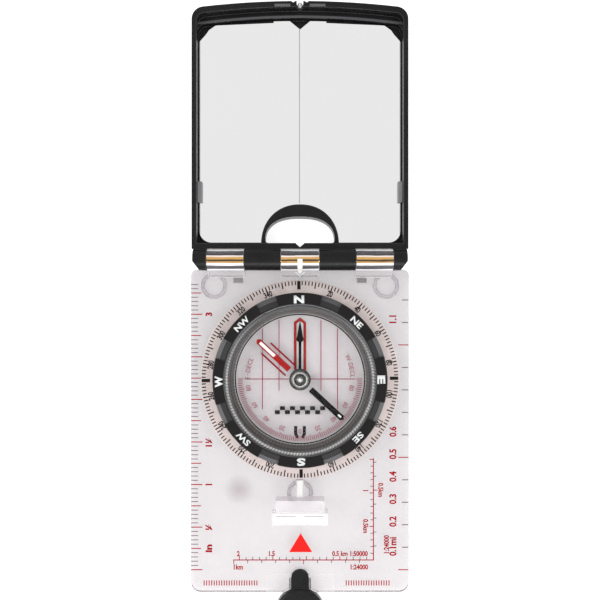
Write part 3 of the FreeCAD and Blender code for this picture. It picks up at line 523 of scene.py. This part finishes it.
# Brass with a painted dark reflection along the hinge pin's top
BRASS = solid(
    "brass", "F4CE7C", 0.2, 1.0, patch=0.15, grain_scale=900.0, grain_depth=0.004 * MM, stretch=(0.1, 6, 6),
    crest="5A3C10",
)
LUME = solid("lume", "E6E6E3", 0.4, patch=0.03)
BEAD = solid("bead_grey", "B2B2B0", 0.3, patch=0.05, edge_wear_and_shading="8A8A8A", edge_wear_and_shading_share=0.6)
# The toothed ring: painted shade between its teeth and towards the lid
WHITE_PLASTIC = solid(
    "white_plastic", "A8A8A8", 0.4, patch=0.15, spokes=150, spoke_shade=0.6, far_shade="505052"
)
# The liner: painted light and shade of its grooves and painted shade between its gear's teeth
DARK_GREY = solid(
    "dark_grey_plastic", "514E50", 0.45, patch=0.25, patch_scale=900.0, grain_depth=0.03 * MM,
    specular=0.25, spokes=132, spoke_shade=0.4,
    rings=(
        (0.0, "8C8A86"), (0.16, "7C7A76"), (0.3, "4A4846"), (0.45, "706E6A"), (0.62, "5C5A58"),
        (0.75, "2A2828"), (0.88, "383636"), (1.0, "6A6866"),
    ),
)
STEEL = solid("steel", "9A9A9C", 0.25, 1.0)
RED_PAINT = solid("red_paint", "94100C", 0.35, patch=0.08, specular=0.12)
BLACK_PAINT = solid("black_paint", "060505", 0.4, specular=0.06)
# Tones of one metal for the hub's rings: the bright one paints highlights, the dark one paints shade
HUB_GREY = solid("hub_grey", "6C6A68", 0.3, 0.7, patch=0.4, patch_scale=1500.0)
HUB_HIGHLIGHT = solid("hub_highlight", "CFCFCB", 0.25, 0.6, patch=0.15, patch_scale=900.0)
HUB_SHADE = solid("hub_shade", "3A3A38", 0.3, 0.6, patch=0.4, patch_scale=1500.0)
JEWEL = solid("jewel_red", "D8C8C8", 0.08, coat=1.0)
# The plate: painted shade towards the lid, painted edge highlights and painted reflections on the knuckles
CLEAR_BASE = clear(
    "clear_base", "D8D5D6", "C4C2C4", haze=0.1, haze_colour="DEDADC", gloss=0.7,
    edge_highlight=0.8, reflection_stripes=KNUCKLE_REFLECTIONS,
)
CLEAR_CAPSULE = clear("clear_capsule", "FCFCFC", haze=0.004, gloss=0.1, roughness=0.0)
# Painted edge lines and glints on the clear catch
CLEAR_PARTS = film(
    "clear_parts", "FAF8FA", haze=0.42, haze_colour="EDEAEC", outline=0.7, edge_shade_colour="D4D0D4"
)
CLEAR_CREAM = clear("clear_cream", "EEE4E2", haze=0.35, haze_colour="E5DAD6", gloss=0.5)
# Painted dark edge lines and glints on the feet
CLEAR_SILICONE = film("clear_silicone", "F4F2F4", haze=0.2, haze_colour="F4F2F4", outline=0.95)
FROSTED = clear("frosted_white", "FAFAFA", roughness=0.2, haze=0.6, haze_colour="ECECEC")
FILM = film("clear_film", "FDFDFD", haze=0.01)
LENS_MIDDLE = middle("magnifier_lens")
# Painted shade: a soft grey spot in the magnifier's middle
LENS = film(
    "lens_clear", "FFFFFF", haze=0.0, centre=tuple(LENS_MIDDLE), centre_shade="F0EEEF", reach=4.8 * MM
)
DIAL = film("milky_dial", "F2F0F1", haze=0.55, haze_colour="D6D1D3")
POCKET = film("pocket_shade", "C6C4C6", haze=0.3, haze_colour="A8A6A8")
MIRROR = mirror_glass("mirror_silver")
RED_INK = printed("red_ink", "9C0E1C", 0.45, patch=0.06)
PALE_RED_INK = printed("pale_red_ink", "8C1C40", 0.45, patch=0.06)
ARROW_INK = printed("arrow_ink", "A81812", 0.4, patch=0.08)
BRIGHT_RED_INK = printed("bright_red_ink", "DC1E1A", 0.4, patch=0.04)
DARK_INK = printed("dark_ink", "181313", 0.5, patch=0.15)
GREY_INK = printed("grey_ink", "6E5A60", 0.5, patch=0.1)
SEAM_INK = printed("seam_grey", "A8A4A6", 0.5, patch=0.1)
MIRROR_INK = solid("mirror_line_grey", "909092", 0.4, soften=0.0)
NEEDLE_INK = printed("needle_line_red", "7E0818", 0.4, patch=0.08)
WHITE_INK = printed("white_ink", "D0D2D2", 0.5, patch=0.03, specular=0.3)

CAD_MATERIALS = {
    "baseplate": CLEAR_BASE,
    "silicone_feet": CLEAR_SILICONE,
    "magnifier_lens": LENS,
    "hinge_pin": BRASS,
    "north_index": LUME,
    "south_index": LUME,
    "lid_catch": CLEAR_PARTS,
    "catch_rest": FROSTED,
    "lid_shell": LID_BLACK,
    "mirror": MIRROR,
    "mirror_clips": GREY_PLASTIC,
    "rim_pads": PAD_PLASTIC,
    "sight_bead": BEAD,
    "bezel_flange": CLEAR_CREAM,
    "grip_ring": BLACK_GRIP,
    "toothed_ring": WHITE_PLASTIC,
    "capsule_cup": CLEAR_CAPSULE,
    "capsule_liner": DARK_GREY,
    "capsule_window": CLEAR_CAPSULE,
    "bottom_window": FILM,
    "pivot_post": STEEL,
    "orienting_disc": DIAL,
    "adjusting_screw": BRASS,
    "clinometer_pointer": BLACK_PAINT,
    "clinometer_collar": BRASS,
    "needle_north": RED_PAINT,
    "needle_south": BLACK_PAINT,
    "north_lume": LUME,
    "south_lume": LUME,
    "needle_vane": FILM,
    "needle_hub": HUB_GREY,
    "jewel": JEWEL,
    "lanyard_fitting": BLACK_PLASTIC,
}
for node, material in CAD_MATERIALS.items():
    NODES[node].data.materials.clear()
    NODES[node].data.materials.append(material)


# ------------------------------------------------------------------ pieces


def add_piece(name, shape, place, material, body):
    """Makes a closed bmesh into a piece that rides on a body."""
    bmesh.ops.recalc_face_normals(shape, faces=shape.faces)
    mesh = bpy.data.meshes.new(name)
    shape.to_mesh(mesh)
    shape.free()
    mesh.transform(place)
    mesh.materials.append(material)
    piece = bpy.data.objects.new(name, mesh)
    bpy.context.scene.collection.objects.link(piece)
    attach(piece, body)
    return piece


class Ink:
    """Thin raised printing. Points are in millimetres from the capsule's axis."""

    def __init__(self):
        self.shapes = bmesh.new()

    def polygon(self, points):
        low = [self.shapes.verts.new((x * MM, y * MM, 0)) for x, y in points]
        high = [self.shapes.verts.new((x * MM, y * MM, INK_DEPTH)) for x, y in points]
        self.shapes.faces.new(high)
        self.shapes.faces.new(reversed(low))
        for i in range(len(points)):
            j = (i + 1) % len(points)
            self.shapes.faces.new((low[i], low[j], high[j], high[i]))

    def bar(self, x0, y0, x1, y1, width):
        along = Vector((x1 - x0, y1 - y0)).normalized() * width / 2
        side = Vector((-along.y, along.x))
        corners = [
            (x0 + side.x, y0 + side.y),
            (x0 - side.x, y0 - side.y),
            (x1 - side.x, y1 - side.y),
            (x1 + side.x, y1 + side.y),
        ]
        self.polygon(corners)

    def ray(self, bearing, inner, outer, width):
        """A tick along a radius, at a compass bearing."""
        x = math.sin(math.radians(bearing))
        y = math.cos(math.radians(bearing))
        self.bar(x * inner, y * inner, x * outer, y * outer, width)

    def path(self, points, width):
        """A line with mitred corners through the points."""
        left, right = [], []
        for i, here in enumerate(points):
            here = Vector(here)
            before = (here - Vector(points[i - 1])).normalized() if i else None
            after = (Vector(points[i + 1]) - here).normalized() if i + 1 < len(points) else None
            before = before or after
            after = after or before
            mean = (before + after).normalized()
            side = Vector((-mean.y, mean.x)) * (width / 2 / max(0.3, mean.dot(before)))
            left.append(tuple(here + side))
            right.append(tuple(here - side))
        for i in range(len(points) - 1):
            self.polygon([left[i], right[i], right[i + 1], left[i + 1]])

    def text(self, words, x, y, height, turn=0.0, squeeze=0.9, bold=0.0):
        curve = bpy.data.curves.new("words", "FONT")
        curve.body = words
        curve.size = 1.0
        curve.resolution_u = 3
        curve.offset = bold
        holder = bpy.data.objects.new("words", curve)
        mesh = bpy.data.meshes.new_from_object(holder)
        across = [vert.co.x for vert in mesh.vertices]
        upward = [vert.co.y for vert in mesh.vertices]
        low = Vector((min(across), min(upward)))
        high = Vector((max(across), max(upward)))
        size = height / (high.y - low.y)
        centre = (low + high) / 2
        place = (
            Matrix.Translation((x * MM, y * MM, INK_DEPTH))
            @ Matrix.Rotation(math.radians(turn), 4, "Z")
            @ Matrix.Diagonal((size * squeeze * MM, size * MM, 1, 1))
            @ Matrix.Translation((-centre.x, -centre.y, 0))
        )
        mesh.transform(place)
        flat = bmesh.new()
        flat.from_mesh(mesh)
        bmesh.ops.remove_doubles(flat, verts=flat.verts, dist=1e-8)
        walls = bmesh.ops.extrude_face_region(flat, geom=list(flat.faces))
        for vert in (g for g in walls["geom"] if isinstance(g, bmesh.types.BMVert)):
            vert.co.z = 0.0
        flat.to_mesh(mesh)
        flat.free()
        self.shapes.from_mesh(mesh)
        bpy.data.objects.remove(holder)
        bpy.data.meshes.remove(mesh)
        bpy.data.curves.remove(curve)

    def ring_text(self, words, radius, bearing, height, squeeze=0.9, bold=0.0):
        """Words on a ring, their tops outwards."""
        x = radius * math.sin(math.radians(bearing))
        y = radius * math.cos(math.radians(bearing))
        self.text(words, x, y, height, -bearing, squeeze, bold)

    def build(self, name, material, body, z, turn=0.0, lift=None):
        """Makes the piece, at height z or lifted to a slope, and turned clockwise by a bearing."""
        if lift:
            for vert in self.shapes.verts:
                vert.co.z += lift(vert.co.y / MM) * MM
        turned = Matrix.Rotation(math.radians(-turn), 4, "Z")
        place = Matrix.Translation((AXIS.x, AXIS.y, z)) @ turned
        add_piece(name, self.shapes, place, material, body)


# ---- baseplate

INCH = 25.4
MILE = 1609344.0
KILOMETRE = 1000000.0
SCALE_ZERO_Y = -56.9
LEFT_EDGE = -32.5
RIGHT_EDGE = 32.3
BOLD = 0.035
HEAVY_LINE = 0.3
LINE = 0.28
FINE_LINE = 0.24
base_red = Ink()
base_grey = Ink()

# The inch ruler along the left edge, in twentieths
TICKS_PER_INCH = 20
INCH_TICKS = 68
HALF_INCH_TICK = 3.4
QUARTER_INCH_TICK = 3.0
SMALL_INCH_TICK = 2.1
for i in range(INCH_TICKS):
    y = SCALE_ZERO_Y + i * INCH / TICKS_PER_INCH
    if i % 10 == 0:
        base_red.bar(LEFT_EDGE, y, LEFT_EDGE + HALF_INCH_TICK, y, HEAVY_LINE)
    elif i % 5 == 0:
        base_red.bar(LEFT_EDGE, y, LEFT_EDGE + QUARTER_INCH_TICK, y, LINE)
    else:
        base_grey.bar(LEFT_EDGE, y, LEFT_EDGE + SMALL_INCH_TICK, y, FINE_LINE)
INCH_LABEL_X = -27.2
INCH_LABEL_HEIGHT = 2.0
INCH_LABELS = (("in", 0.25, 1.25), ("½", 0.5, 1.1), ("1", 1.0, 0.9), ("1½", 1.5, 1.0), ("3", 3.0, 1.0))
for words, inches, squeeze in INCH_LABELS:
    y = SCALE_ZERO_Y + inches * INCH
    base_red.text(words, INCH_LABEL_X, y, INCH_LABEL_HEIGHT, 90, squeeze, BOLD * 1.3)

# The mile scale along the right edge, in tenths
MAP_24 = 24000.0
MAP_50 = 50000.0
TENTH_MILE = MILE / MAP_24 / 10
MILE_TICKS = 13
LONG_MILE_TICK = 3.0
SHORT_MILE_TICK = 1.9
MILE_LABEL_X = 27.7
MILE_LABEL_HEIGHT = 2.15
MILE_LABEL_SHIFT = 0.95
MILE_FIRST_SHIFT = 0.2
for i in range(MILE_TICKS):
    y = SCALE_ZERO_Y + i * TENTH_MILE
    ink, length = (base_red, LONG_MILE_TICK) if i % 5 == 0 else (base_grey, SHORT_MILE_TICK)
    ink.bar(RIGHT_EDGE - length, y, RIGHT_EDGE, y, LINE)
for tenths in (1, 2, 3, 4, 5, 6, 11):
    words = f"{tenths / 10}mi" if tenths == 1 else f"{tenths / 10}"
    y = SCALE_ZERO_Y + tenths * TENTH_MILE + (MILE_FIRST_SHIFT if tenths == 1 else MILE_LABEL_SHIFT)
    base_red.text(words, MILE_LABEL_X, y, MILE_LABEL_HEIGHT, 90, 0.92, BOLD)
base_red.text("1:24000", 25.8, -49.3, 1.6, 90, 0.85, BOLD)

# The map corner: kilometre scales at 1:50000 inside it and at 1:24000 outside it
ROMER_LEFT = -19.9
ROMER_RIGHT = 21.9
ROMER_LOW = -54.0
ROMER_HIGH = -23.6
LONG_ROMER_TICK = 1.2
SHORT_ROMER_TICK = 0.9
ROMER_LABEL_HEIGHT = 1.55
base_red.bar(ROMER_LEFT, ROMER_LOW, ROMER_RIGHT + HEAVY_LINE / 2, ROMER_LOW, HEAVY_LINE)
base_red.bar(ROMER_RIGHT, ROMER_LOW, ROMER_RIGHT, ROMER_HIGH, HEAVY_LINE)
STEP_50 = 0.1 * KILOMETRE / MAP_50
STEP_24 = 0.1 * KILOMETRE / MAP_24


def romer_tick(i):
    """The ink and the length of a tick, every fifth one being long and red."""
    return (base_red, LONG_ROMER_TICK) if i % 5 == 0 else (base_grey, SHORT_ROMER_TICK)


# Step, side of the line on which the ticks stand, and how many run along each line
for step, side, across_ticks, upward_ticks in ((STEP_50, 1, 20, 15), (STEP_24, -1, 10, 7)):
    for i in range(1, across_ticks + 1):
        x = ROMER_RIGHT - i * step
        ink, length = romer_tick(i)
        ink.bar(x, ROMER_LOW, x, ROMER_LOW + side * length, FINE_LINE)
    for i in range(1, upward_ticks + 1):
        y = ROMER_LOW + i * step
        ink, length = romer_tick(i)
        ink.bar(ROMER_RIGHT, y, ROMER_RIGHT - side * length, y, FINE_LINE)
for words, x, y, turn in (
    ("2", -18.4, -52.1, 0),
    ("1.5", -8.4, -52.1, 0),
    ("0.5 km 1:50000", 14.9, -52.1, 0),
    ("1km", -18.4, -56.1, 0),
    ("1:24000", 17.7, -56.1, 0),
    ("0.5km", 19.6, -43.9, -90),
    ("1", 19.6, -33.3, -90),
    ("0.5km", 24.1, -33.1, -90),
):
    base_red.text(words, x, y, ROMER_LABEL_HEIGHT, turn, 0.85, BOLD)

# Rows of short strokes near the plate's end
MARK_LOW_Y = -61.6
MARK_HIGH_Y = -60.1
MARK_STEP = 0.75
for start, end in ((-28.6, -11.4), (13.8, 27.5)):
    for i in range(int((end - start) / MARK_STEP)):
        x = start + i * MARK_STEP
        base_red.bar(x, MARK_LOW_Y, x, MARK_HIGH_Y, HEAVY_LINE)

base_red.build("base_scales", RED_INK, "base", BASE_TOP)
base_grey.build("base_minor_ticks", GREY_INK, "base", BASE_TOP)

travel_mark = Ink()
travel_mark.polygon([(0.2, -46.0), (-3.25, -51.65), (3.65, -51.65)])
travel_mark.build("travel_arrowhead", BRIGHT_RED_INK, "base", BASE_TOP)

RISER_FOOT_Y = 30.3
RISER_FOOT_Z = 6.2
RISER_HEAD_Y = 32.1
RISER_HEAD_Z = 8.6


def riser_height(y):
    """How high the slope that leads up to the middle knuckle is."""
    slope = (RISER_HEAD_Z - RISER_FOOT_Z) / (RISER_HEAD_Y - RISER_FOOT_Y)
    return RISER_FOOT_Z + (y - RISER_FOOT_Y) * slope


# The pointer at the middle knuckle, on the slope
north_pointer = Ink()
north_pointer.polygon([(-0.7, 32.0), (-0.7, 31.7), (0.0, 31.05), (0.7, 31.7), (0.7, 32.0)])
north_pointer.build("north_pointer", LUME, "base", 0.0, lift=riser_height)
north_chevron = Ink()
north_chevron.path([(-1.35, 31.6), (0.0, 30.45), (1.35, 31.6)], LINE)
north_chevron.build("north_chevron", WHITE_INK, "base", 0.0, lift=riser_height)
north_dash = Ink()
north_dash.bar(-1.05, 29.75, 1.05, 29.75, 0.4)
north_dash.build("north_dash", WHITE_INK, "base", BASE_TOP)

# Grey sheets of painted shade in the pockets inside the plate, and the seams across the catch's rest
POCKET_X = 18.5
POCKET_Y = 29.5
POCKET_HALF = 1.4
POCKET_DEPTH = 1.6
POCKET_Z = 2.2 * MM
pockets = Ink()
for side in (-1, 1):
    x = side * POCKET_X
    pockets.bar(x - POCKET_HALF, POCKET_Y, x + POCKET_HALF, POCKET_Y, POCKET_DEPTH)
pockets.build("guide_pockets", POCKET, "base", POCKET_Z)

SEAM_Y = -39.7
seams = Ink()
for left, right in ((-7.0, -1.0), (1.2, 6.8)):
    seams.bar(left, SEAM_Y, right, SEAM_Y, 0.26)
seams.build("catch_seams", SEAM_INK, "base", top_of("catch_rest"))

# ---- bezel

degrees = Ink()
TICK_R = 29.1
NUMBER_R = 26.8
NUMBER_HEIGHT = 1.8
for bearing in range(0, 360, 2):
    length, width = 1.2, 0.34
    if bearing % 90 == 0:
        length, width = 2.5, 1.0
    elif bearing % 10 == 0:
        length, width = 1.9, 0.36
    degrees.ray(bearing, TICK_R - length, TICK_R, width)
for bearing in range(20, 360, 20):
    if bearing != 180:
        degrees.ring_text(str(bearing), NUMBER_R, bearing, NUMBER_HEIGHT, 0.72, 0.03)
degrees.build("degree_ring", DARK_INK, "bezel", top_of("bezel_flange"), -BEZEL_TURN)

points = Ink()
POINTS_R = 23.5
POINTS = (
    ("N", 1.4), ("NE", 1.25), ("E", 1.7), ("SE", 1.45), ("S", 1.75), ("SW", 1.25), ("W", 0.95), ("NW", 1.15),
)
for i, (words, squeeze) in enumerate(POINTS):
    height, bold = (2.3, 0.05) if len(words) == 1 else (1.85, 0.03)
    points.ring_text(words, POINTS_R, i * 360 / len(POINTS), height, squeeze, bold)
points.build("compass_points", WHITE_INK, "bezel", top_of("grip_ring"), -BEZEL_TURN)

declination = Ink()
DECLINATION_R = 18.5
DECLINATION_LONG_R = 16.8
DECLINATION_SHORT_R = 17.15
DECLINATION_NUMBER_R = 15.6
DECLINATION_WORD_R = 15.7
LETTER_STEP = 4.2
CROSS_LINE_HALF = 16.4
for degrees_off in range(-90, 91, 2):
    inner = DECLINATION_LONG_R if degrees_off % 10 == 0 else DECLINATION_SHORT_R
    declination.ray(180 + degrees_off, inner, DECLINATION_R, 0.22)
for degrees_off in range(-80, 81, 20):
    declination.ring_text(str(abs(degrees_off)), DECLINATION_NUMBER_R, 180 - degrees_off, 1.4)
for first_bearing, words in ((271.0, "E.DECL"), (66.0, "W.DECL")):
    for i, letter in enumerate(words):
        height = 0.3 if letter == "." else 1.35
        declination.ring_text(letter, DECLINATION_WORD_R, first_bearing + i * LETTER_STEP, height)
declination.bar(-CROSS_LINE_HALF, 0, CROSS_LINE_HALF, 0, FINE_LINE)
declination.build("declination_scale", PALE_RED_INK, "bezel", DIAL_Z)

# Distance from the middle line, and where the line ends towards north and south
MERIDIANS = ((6.25, 17.6, -3.5), (11.2, 15.0, -9.0))
meridians = Ink()
for x, high, low in MERIDIANS:
    for side in (-1, 1):
        meridians.bar(side * x, low, side * x, high, FINE_LINE)
meridians.build("meridian_lines", PALE_RED_INK, "bezel", DIAL_Z)

# A plain chequered bar below the hub
dial_mark = Ink()
BOX_WIDTH = 1.5
BOX_HEIGHT = 1.2
BOX_COUNT = 10
for row, y in enumerate((-9.9, -8.7)):
    for box in range(row, BOX_COUNT, 2):
        x = (box - BOX_COUNT / 2) * BOX_WIDTH
        dial_mark.bar(x, y, x + BOX_WIDTH, y, BOX_HEIGHT)
dial_mark.build("scale_bar", DARK_INK, "bezel", DIAL_Z)

# ---- orienting disc

ARROW_HALF = 1.43
ARROW_TAIL_Y = 2.6
ARROW_SHOULDER_Y = 16.75
ARROW_TIP_Y = 17.85
ARROW_LINE = 0.84
orienting = Ink()
outline = [
    (-ARROW_HALF, ARROW_TAIL_Y),
    (-ARROW_HALF, ARROW_SHOULDER_Y),
    (0.0, ARROW_TIP_Y),
    (ARROW_HALF, ARROW_SHOULDER_Y),
    (ARROW_HALF, ARROW_TAIL_Y),
]
orienting.path(outline, ARROW_LINE)
orienting.build("orienting_arrow", ARROW_INK, "orienting_arrow", top_of("orienting_disc"))
arrow_fill = Ink()
arrow_fill.polygon([(-1.0, ARROW_TAIL_Y), (1.0, ARROW_TAIL_Y), (1.0, 16.5), (0.0, 17.3), (-1.0, 16.5)])
arrow_fill.build("arrow_fill", WHITE_INK, "orienting_arrow", top_of("orienting_disc"))
gate = Ink()
for side in (-1, 1):
    gate.path([(side * 1.3, -14.1), (side * 1.3, -16.4), (side * 0.7, -17.7)], 0.95)
gate.build("orienting_tail", DARK_INK, "orienting_arrow", top_of("orienting_disc"))

# ---- needle

VANE_LINE_X = 2.04
VANE_LINE_START = 3.9
VANE_LINE_END = 13.7
VANE_LINE_WIDTH = 0.54
vane_lines = Ink()
for side in (-1, 1):
    x = side * VANE_LINE_X
    vane_lines.bar(x, VANE_LINE_START, x, VANE_LINE_END, VANE_LINE_WIDTH)
vane_lines.build("needle_lines", NEEDLE_INK, "needle", top_of("needle_vane"), NEEDLE_BEARING)

# ---- needle hub, in turned rings whose bright and dark tones are painted highlights and shade

LATHE_STEPS = 96


def lathe(name, profile, material, body, replaces=None, axis=AXIS):
    """Turns a closed profile of radii and heights, in millimetres, about an upright axis."""
    shape = bmesh.new()
    rings = []
    for step in range(LATHE_STEPS):
        angle = 2 * math.pi * step / LATHE_STEPS
        rings.append([
            shape.verts.new((radius * MM * math.cos(angle), radius * MM * math.sin(angle), z * MM))
            for radius, z in profile
        ])
    for step in range(LATHE_STEPS):
        here, there = rings[step], rings[(step + 1) % LATHE_STEPS]
        for i in range(len(profile)):
            j = (i + 1) % len(profile)
            shape.faces.new((here[i], here[j], there[j], there[i]))
    bmesh.ops.remove_doubles(shape, verts=shape.verts, dist=1e-7)
    bmesh.ops.dissolve_degenerate(shape, edges=shape.edges, dist=1e-8)
    piece = add_piece(name, shape, Matrix.Translation((axis.x, axis.y, 0)), material, body)
    if replaces:
        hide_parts(replaces)


HUB_RINGS = (
    ("hub_core", HUB_HIGHLIGHT, [(0.0, 7.0), (0.5, 7.0), (0.5, 7.3), (0.25, 7.38), (0.0, 7.4)]),
    ("hub_well", HUB_GREY, [(0.5, 7.0), (0.95, 7.0), (0.95, 7.2), (0.75, 7.28), (0.5, 7.2)]),
    (
        "hub_groove",
        HUB_SHADE,
        [
            (0.95, 4.5), (1.5, 4.5), (1.5, 5.4), (1.8, 5.4), (1.8, 6.85),
            (1.6, 6.8), (1.4, 6.95), (1.15, 6.9), (0.95, 7.1),
        ],
    ),
    ("hub_band", HUB_HIGHLIGHT, [(1.8, 5.4), (2.25, 5.4), (2.25, 6.5), (2.15, 6.65), (1.9, 6.7), (1.8, 6.6)]),
    ("hub_step", HUB_GREY, [(2.25, 5.4), (2.7, 5.4), (2.7, 6.1), (2.55, 6.25), (2.35, 6.2), (2.25, 6.4)]),
    ("hub_rim", HUB_SHADE, [(2.7, 5.4), (3.2, 5.4), (3.2, 5.8), (3.05, 6.0), (2.85, 6.05), (2.7, 5.95)]),
)
for name, material, profile in HUB_RINGS:
    lathe(name, profile, material, "needle", "needle_hub")

# ---- dark ring round the dial's edge

EDGE_INNER_R = 19.1
EDGE_OUTER_R = 19.5
EDGE_LOW = DIAL_Z / MM
EDGE_HIGH = EDGE_LOW + 0.03
DIAL_EDGE = [
    (EDGE_INNER_R, EDGE_LOW), (EDGE_OUTER_R, EDGE_LOW), (EDGE_OUTER_R, EDGE_HIGH), (EDGE_INNER_R, EDGE_HIGH),
]
lathe("dial_edge", DIAL_EDGE, DARK_INK, "bezel")

# ---- magnifier, a dome whose flat underside stands just clear of the baseplate's top

LENS_LIFT = 0.02
LENS_INSET = 0.1
LENS_STEPS = 12
lens_low, lens_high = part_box("magnifier_lens")
LENS_RADIUS = (lens_high.x - lens_low.x) / 2 / MM
LENS_RISE = (lens_high.z - lens_low.z) / MM
SPHERE_RADIUS = (LENS_RADIUS ** 2 + LENS_RISE ** 2) / (2 * LENS_RISE)
SPHERE_Z = lens_high.z / MM - SPHERE_RADIUS
LENS_EDGE = LENS_RADIUS - LENS_INSET
LENS_UNDER = lens_low.z / MM + LENS_LIFT
LENS_PROFILE = [(0.0, LENS_UNDER), (LENS_EDGE, LENS_UNDER)]
for step in range(LENS_STEPS + 1):
    radius = LENS_EDGE * (1 - step / LENS_STEPS)
    LENS_PROFILE.append((radius, SPHERE_Z + math.sqrt(SPHERE_RADIUS ** 2 - radius ** 2)))
lathe("magnifier_dome", LENS_PROFILE, LENS, "base", "magnifier_lens", LENS_MIDDLE)

# ---- mirror line

MIRROR_LINE_X = -0.15
MIRROR_LINE_LOW = 52.2
MIRROR_LINE_HIGH = 104.0
mirror_line = Ink()
mirror_line.bar(MIRROR_LINE_X, MIRROR_LINE_LOW, MIRROR_LINE_X, MIRROR_LINE_HIGH, LINE)
mirror_line.build("mirror_line", MIRROR_INK, "lid", top_of("mirror"))


# --------------------------------------------------------------- floor, lights, camera

FLOOR_HALF = 2.0
FLOOR_Z = -0.05 * MM
floor_mesh = bpy.data.meshes.new("floor")
corners = [(x * FLOOR_HALF, y * FLOOR_HALF, 0) for x, y in ((-1, -1), (1, -1), (1, 1), (-1, 1))]
floor_mesh.from_pydata(corners, [], [(0, 1, 2, 3)])
floor = bpy.data.objects.new("floor", floor_mesh)
floor.location.z = FLOOR_Z
bpy.context.scene.collection.objects.link(floor)
floor_shader = Shader("floor_white")
paper = floor_shader.node("ShaderNodeBsdfPrincipled")
paper.inputs["Base Color"].default_value = (0.55, 0.55, 0.55, 1.0)
paper.inputs["Roughness"].default_value = 0.9
paper.inputs["Specular IOR Level"].default_value = 0.0
paper.inputs["Emission Color"].default_value = WHITE
paper.inputs["Emission Strength"].default_value = 0.75
floor_mesh.materials.append(floor_shader.finish(paper.outputs["BSDF"]))
floor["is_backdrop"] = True

world = bpy.data.worlds.new("studio")
bpy.context.scene.world = world
world.use_nodes = True
world.node_tree.nodes["Background"].inputs["Color"].default_value = (0.82, 0.82, 0.82, 1.0)
world.node_tree.nodes["Background"].inputs["Strength"].default_value = 1.0


def soft_box(name, place, size, power):
    lamp = bpy.data.lights.new(name, "AREA")
    lamp.shape = "SQUARE"
    lamp.size = size
    lamp.energy = power
    holder = bpy.data.objects.new(name, lamp)
    holder.location = place
    aim = Vector((0, 0.03, 0)) - Vector(place)
    holder.rotation_euler = aim.to_track_quat("-Z", "Y").to_euler()
    bpy.context.scene.collection.objects.link(holder)


soft_box("key_left", (-0.7, 0.1, 0.75), 0.5, 4.0)
soft_box("fill_right", (0.7, -0.15, 0.8), 0.5, 3.0)
soft_box("front", (0.1, -0.8, 0.7), 0.5, 4.5)

# The camera looks straight down. VIEW_MM is the width that it sees at the baseplate's top.
CAMERA_Y = 16.1
CAMERA_HEIGHT = 240.0
PIXELS = 600
VIEW_MM = 179.0
SHIFT_PIXELS = 25
camera_data = bpy.data.cameras.new("camera")
camera = bpy.data.objects.new("camera", camera_data)
bpy.context.scene.collection.objects.link(camera)
bpy.context.scene.camera = camera
camera.location = (AXIS.x, AXIS.y + CAMERA_Y * MM, CAMERA_HEIGHT * MM)
camera_data.sensor_width = 36.0
camera_data.lens = camera_data.sensor_width * (CAMERA_HEIGHT * MM - BASE_TOP) / (VIEW_MM * MM)
camera_data.shift_y = SHIFT_PIXELS / PIXELS
camera_data.clip_start = 0.01
bpy.context.scene.view_settings.view_transform = "Standard"
bpy.context.scene.cycles.transparent_max_bounces = 24

low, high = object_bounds()
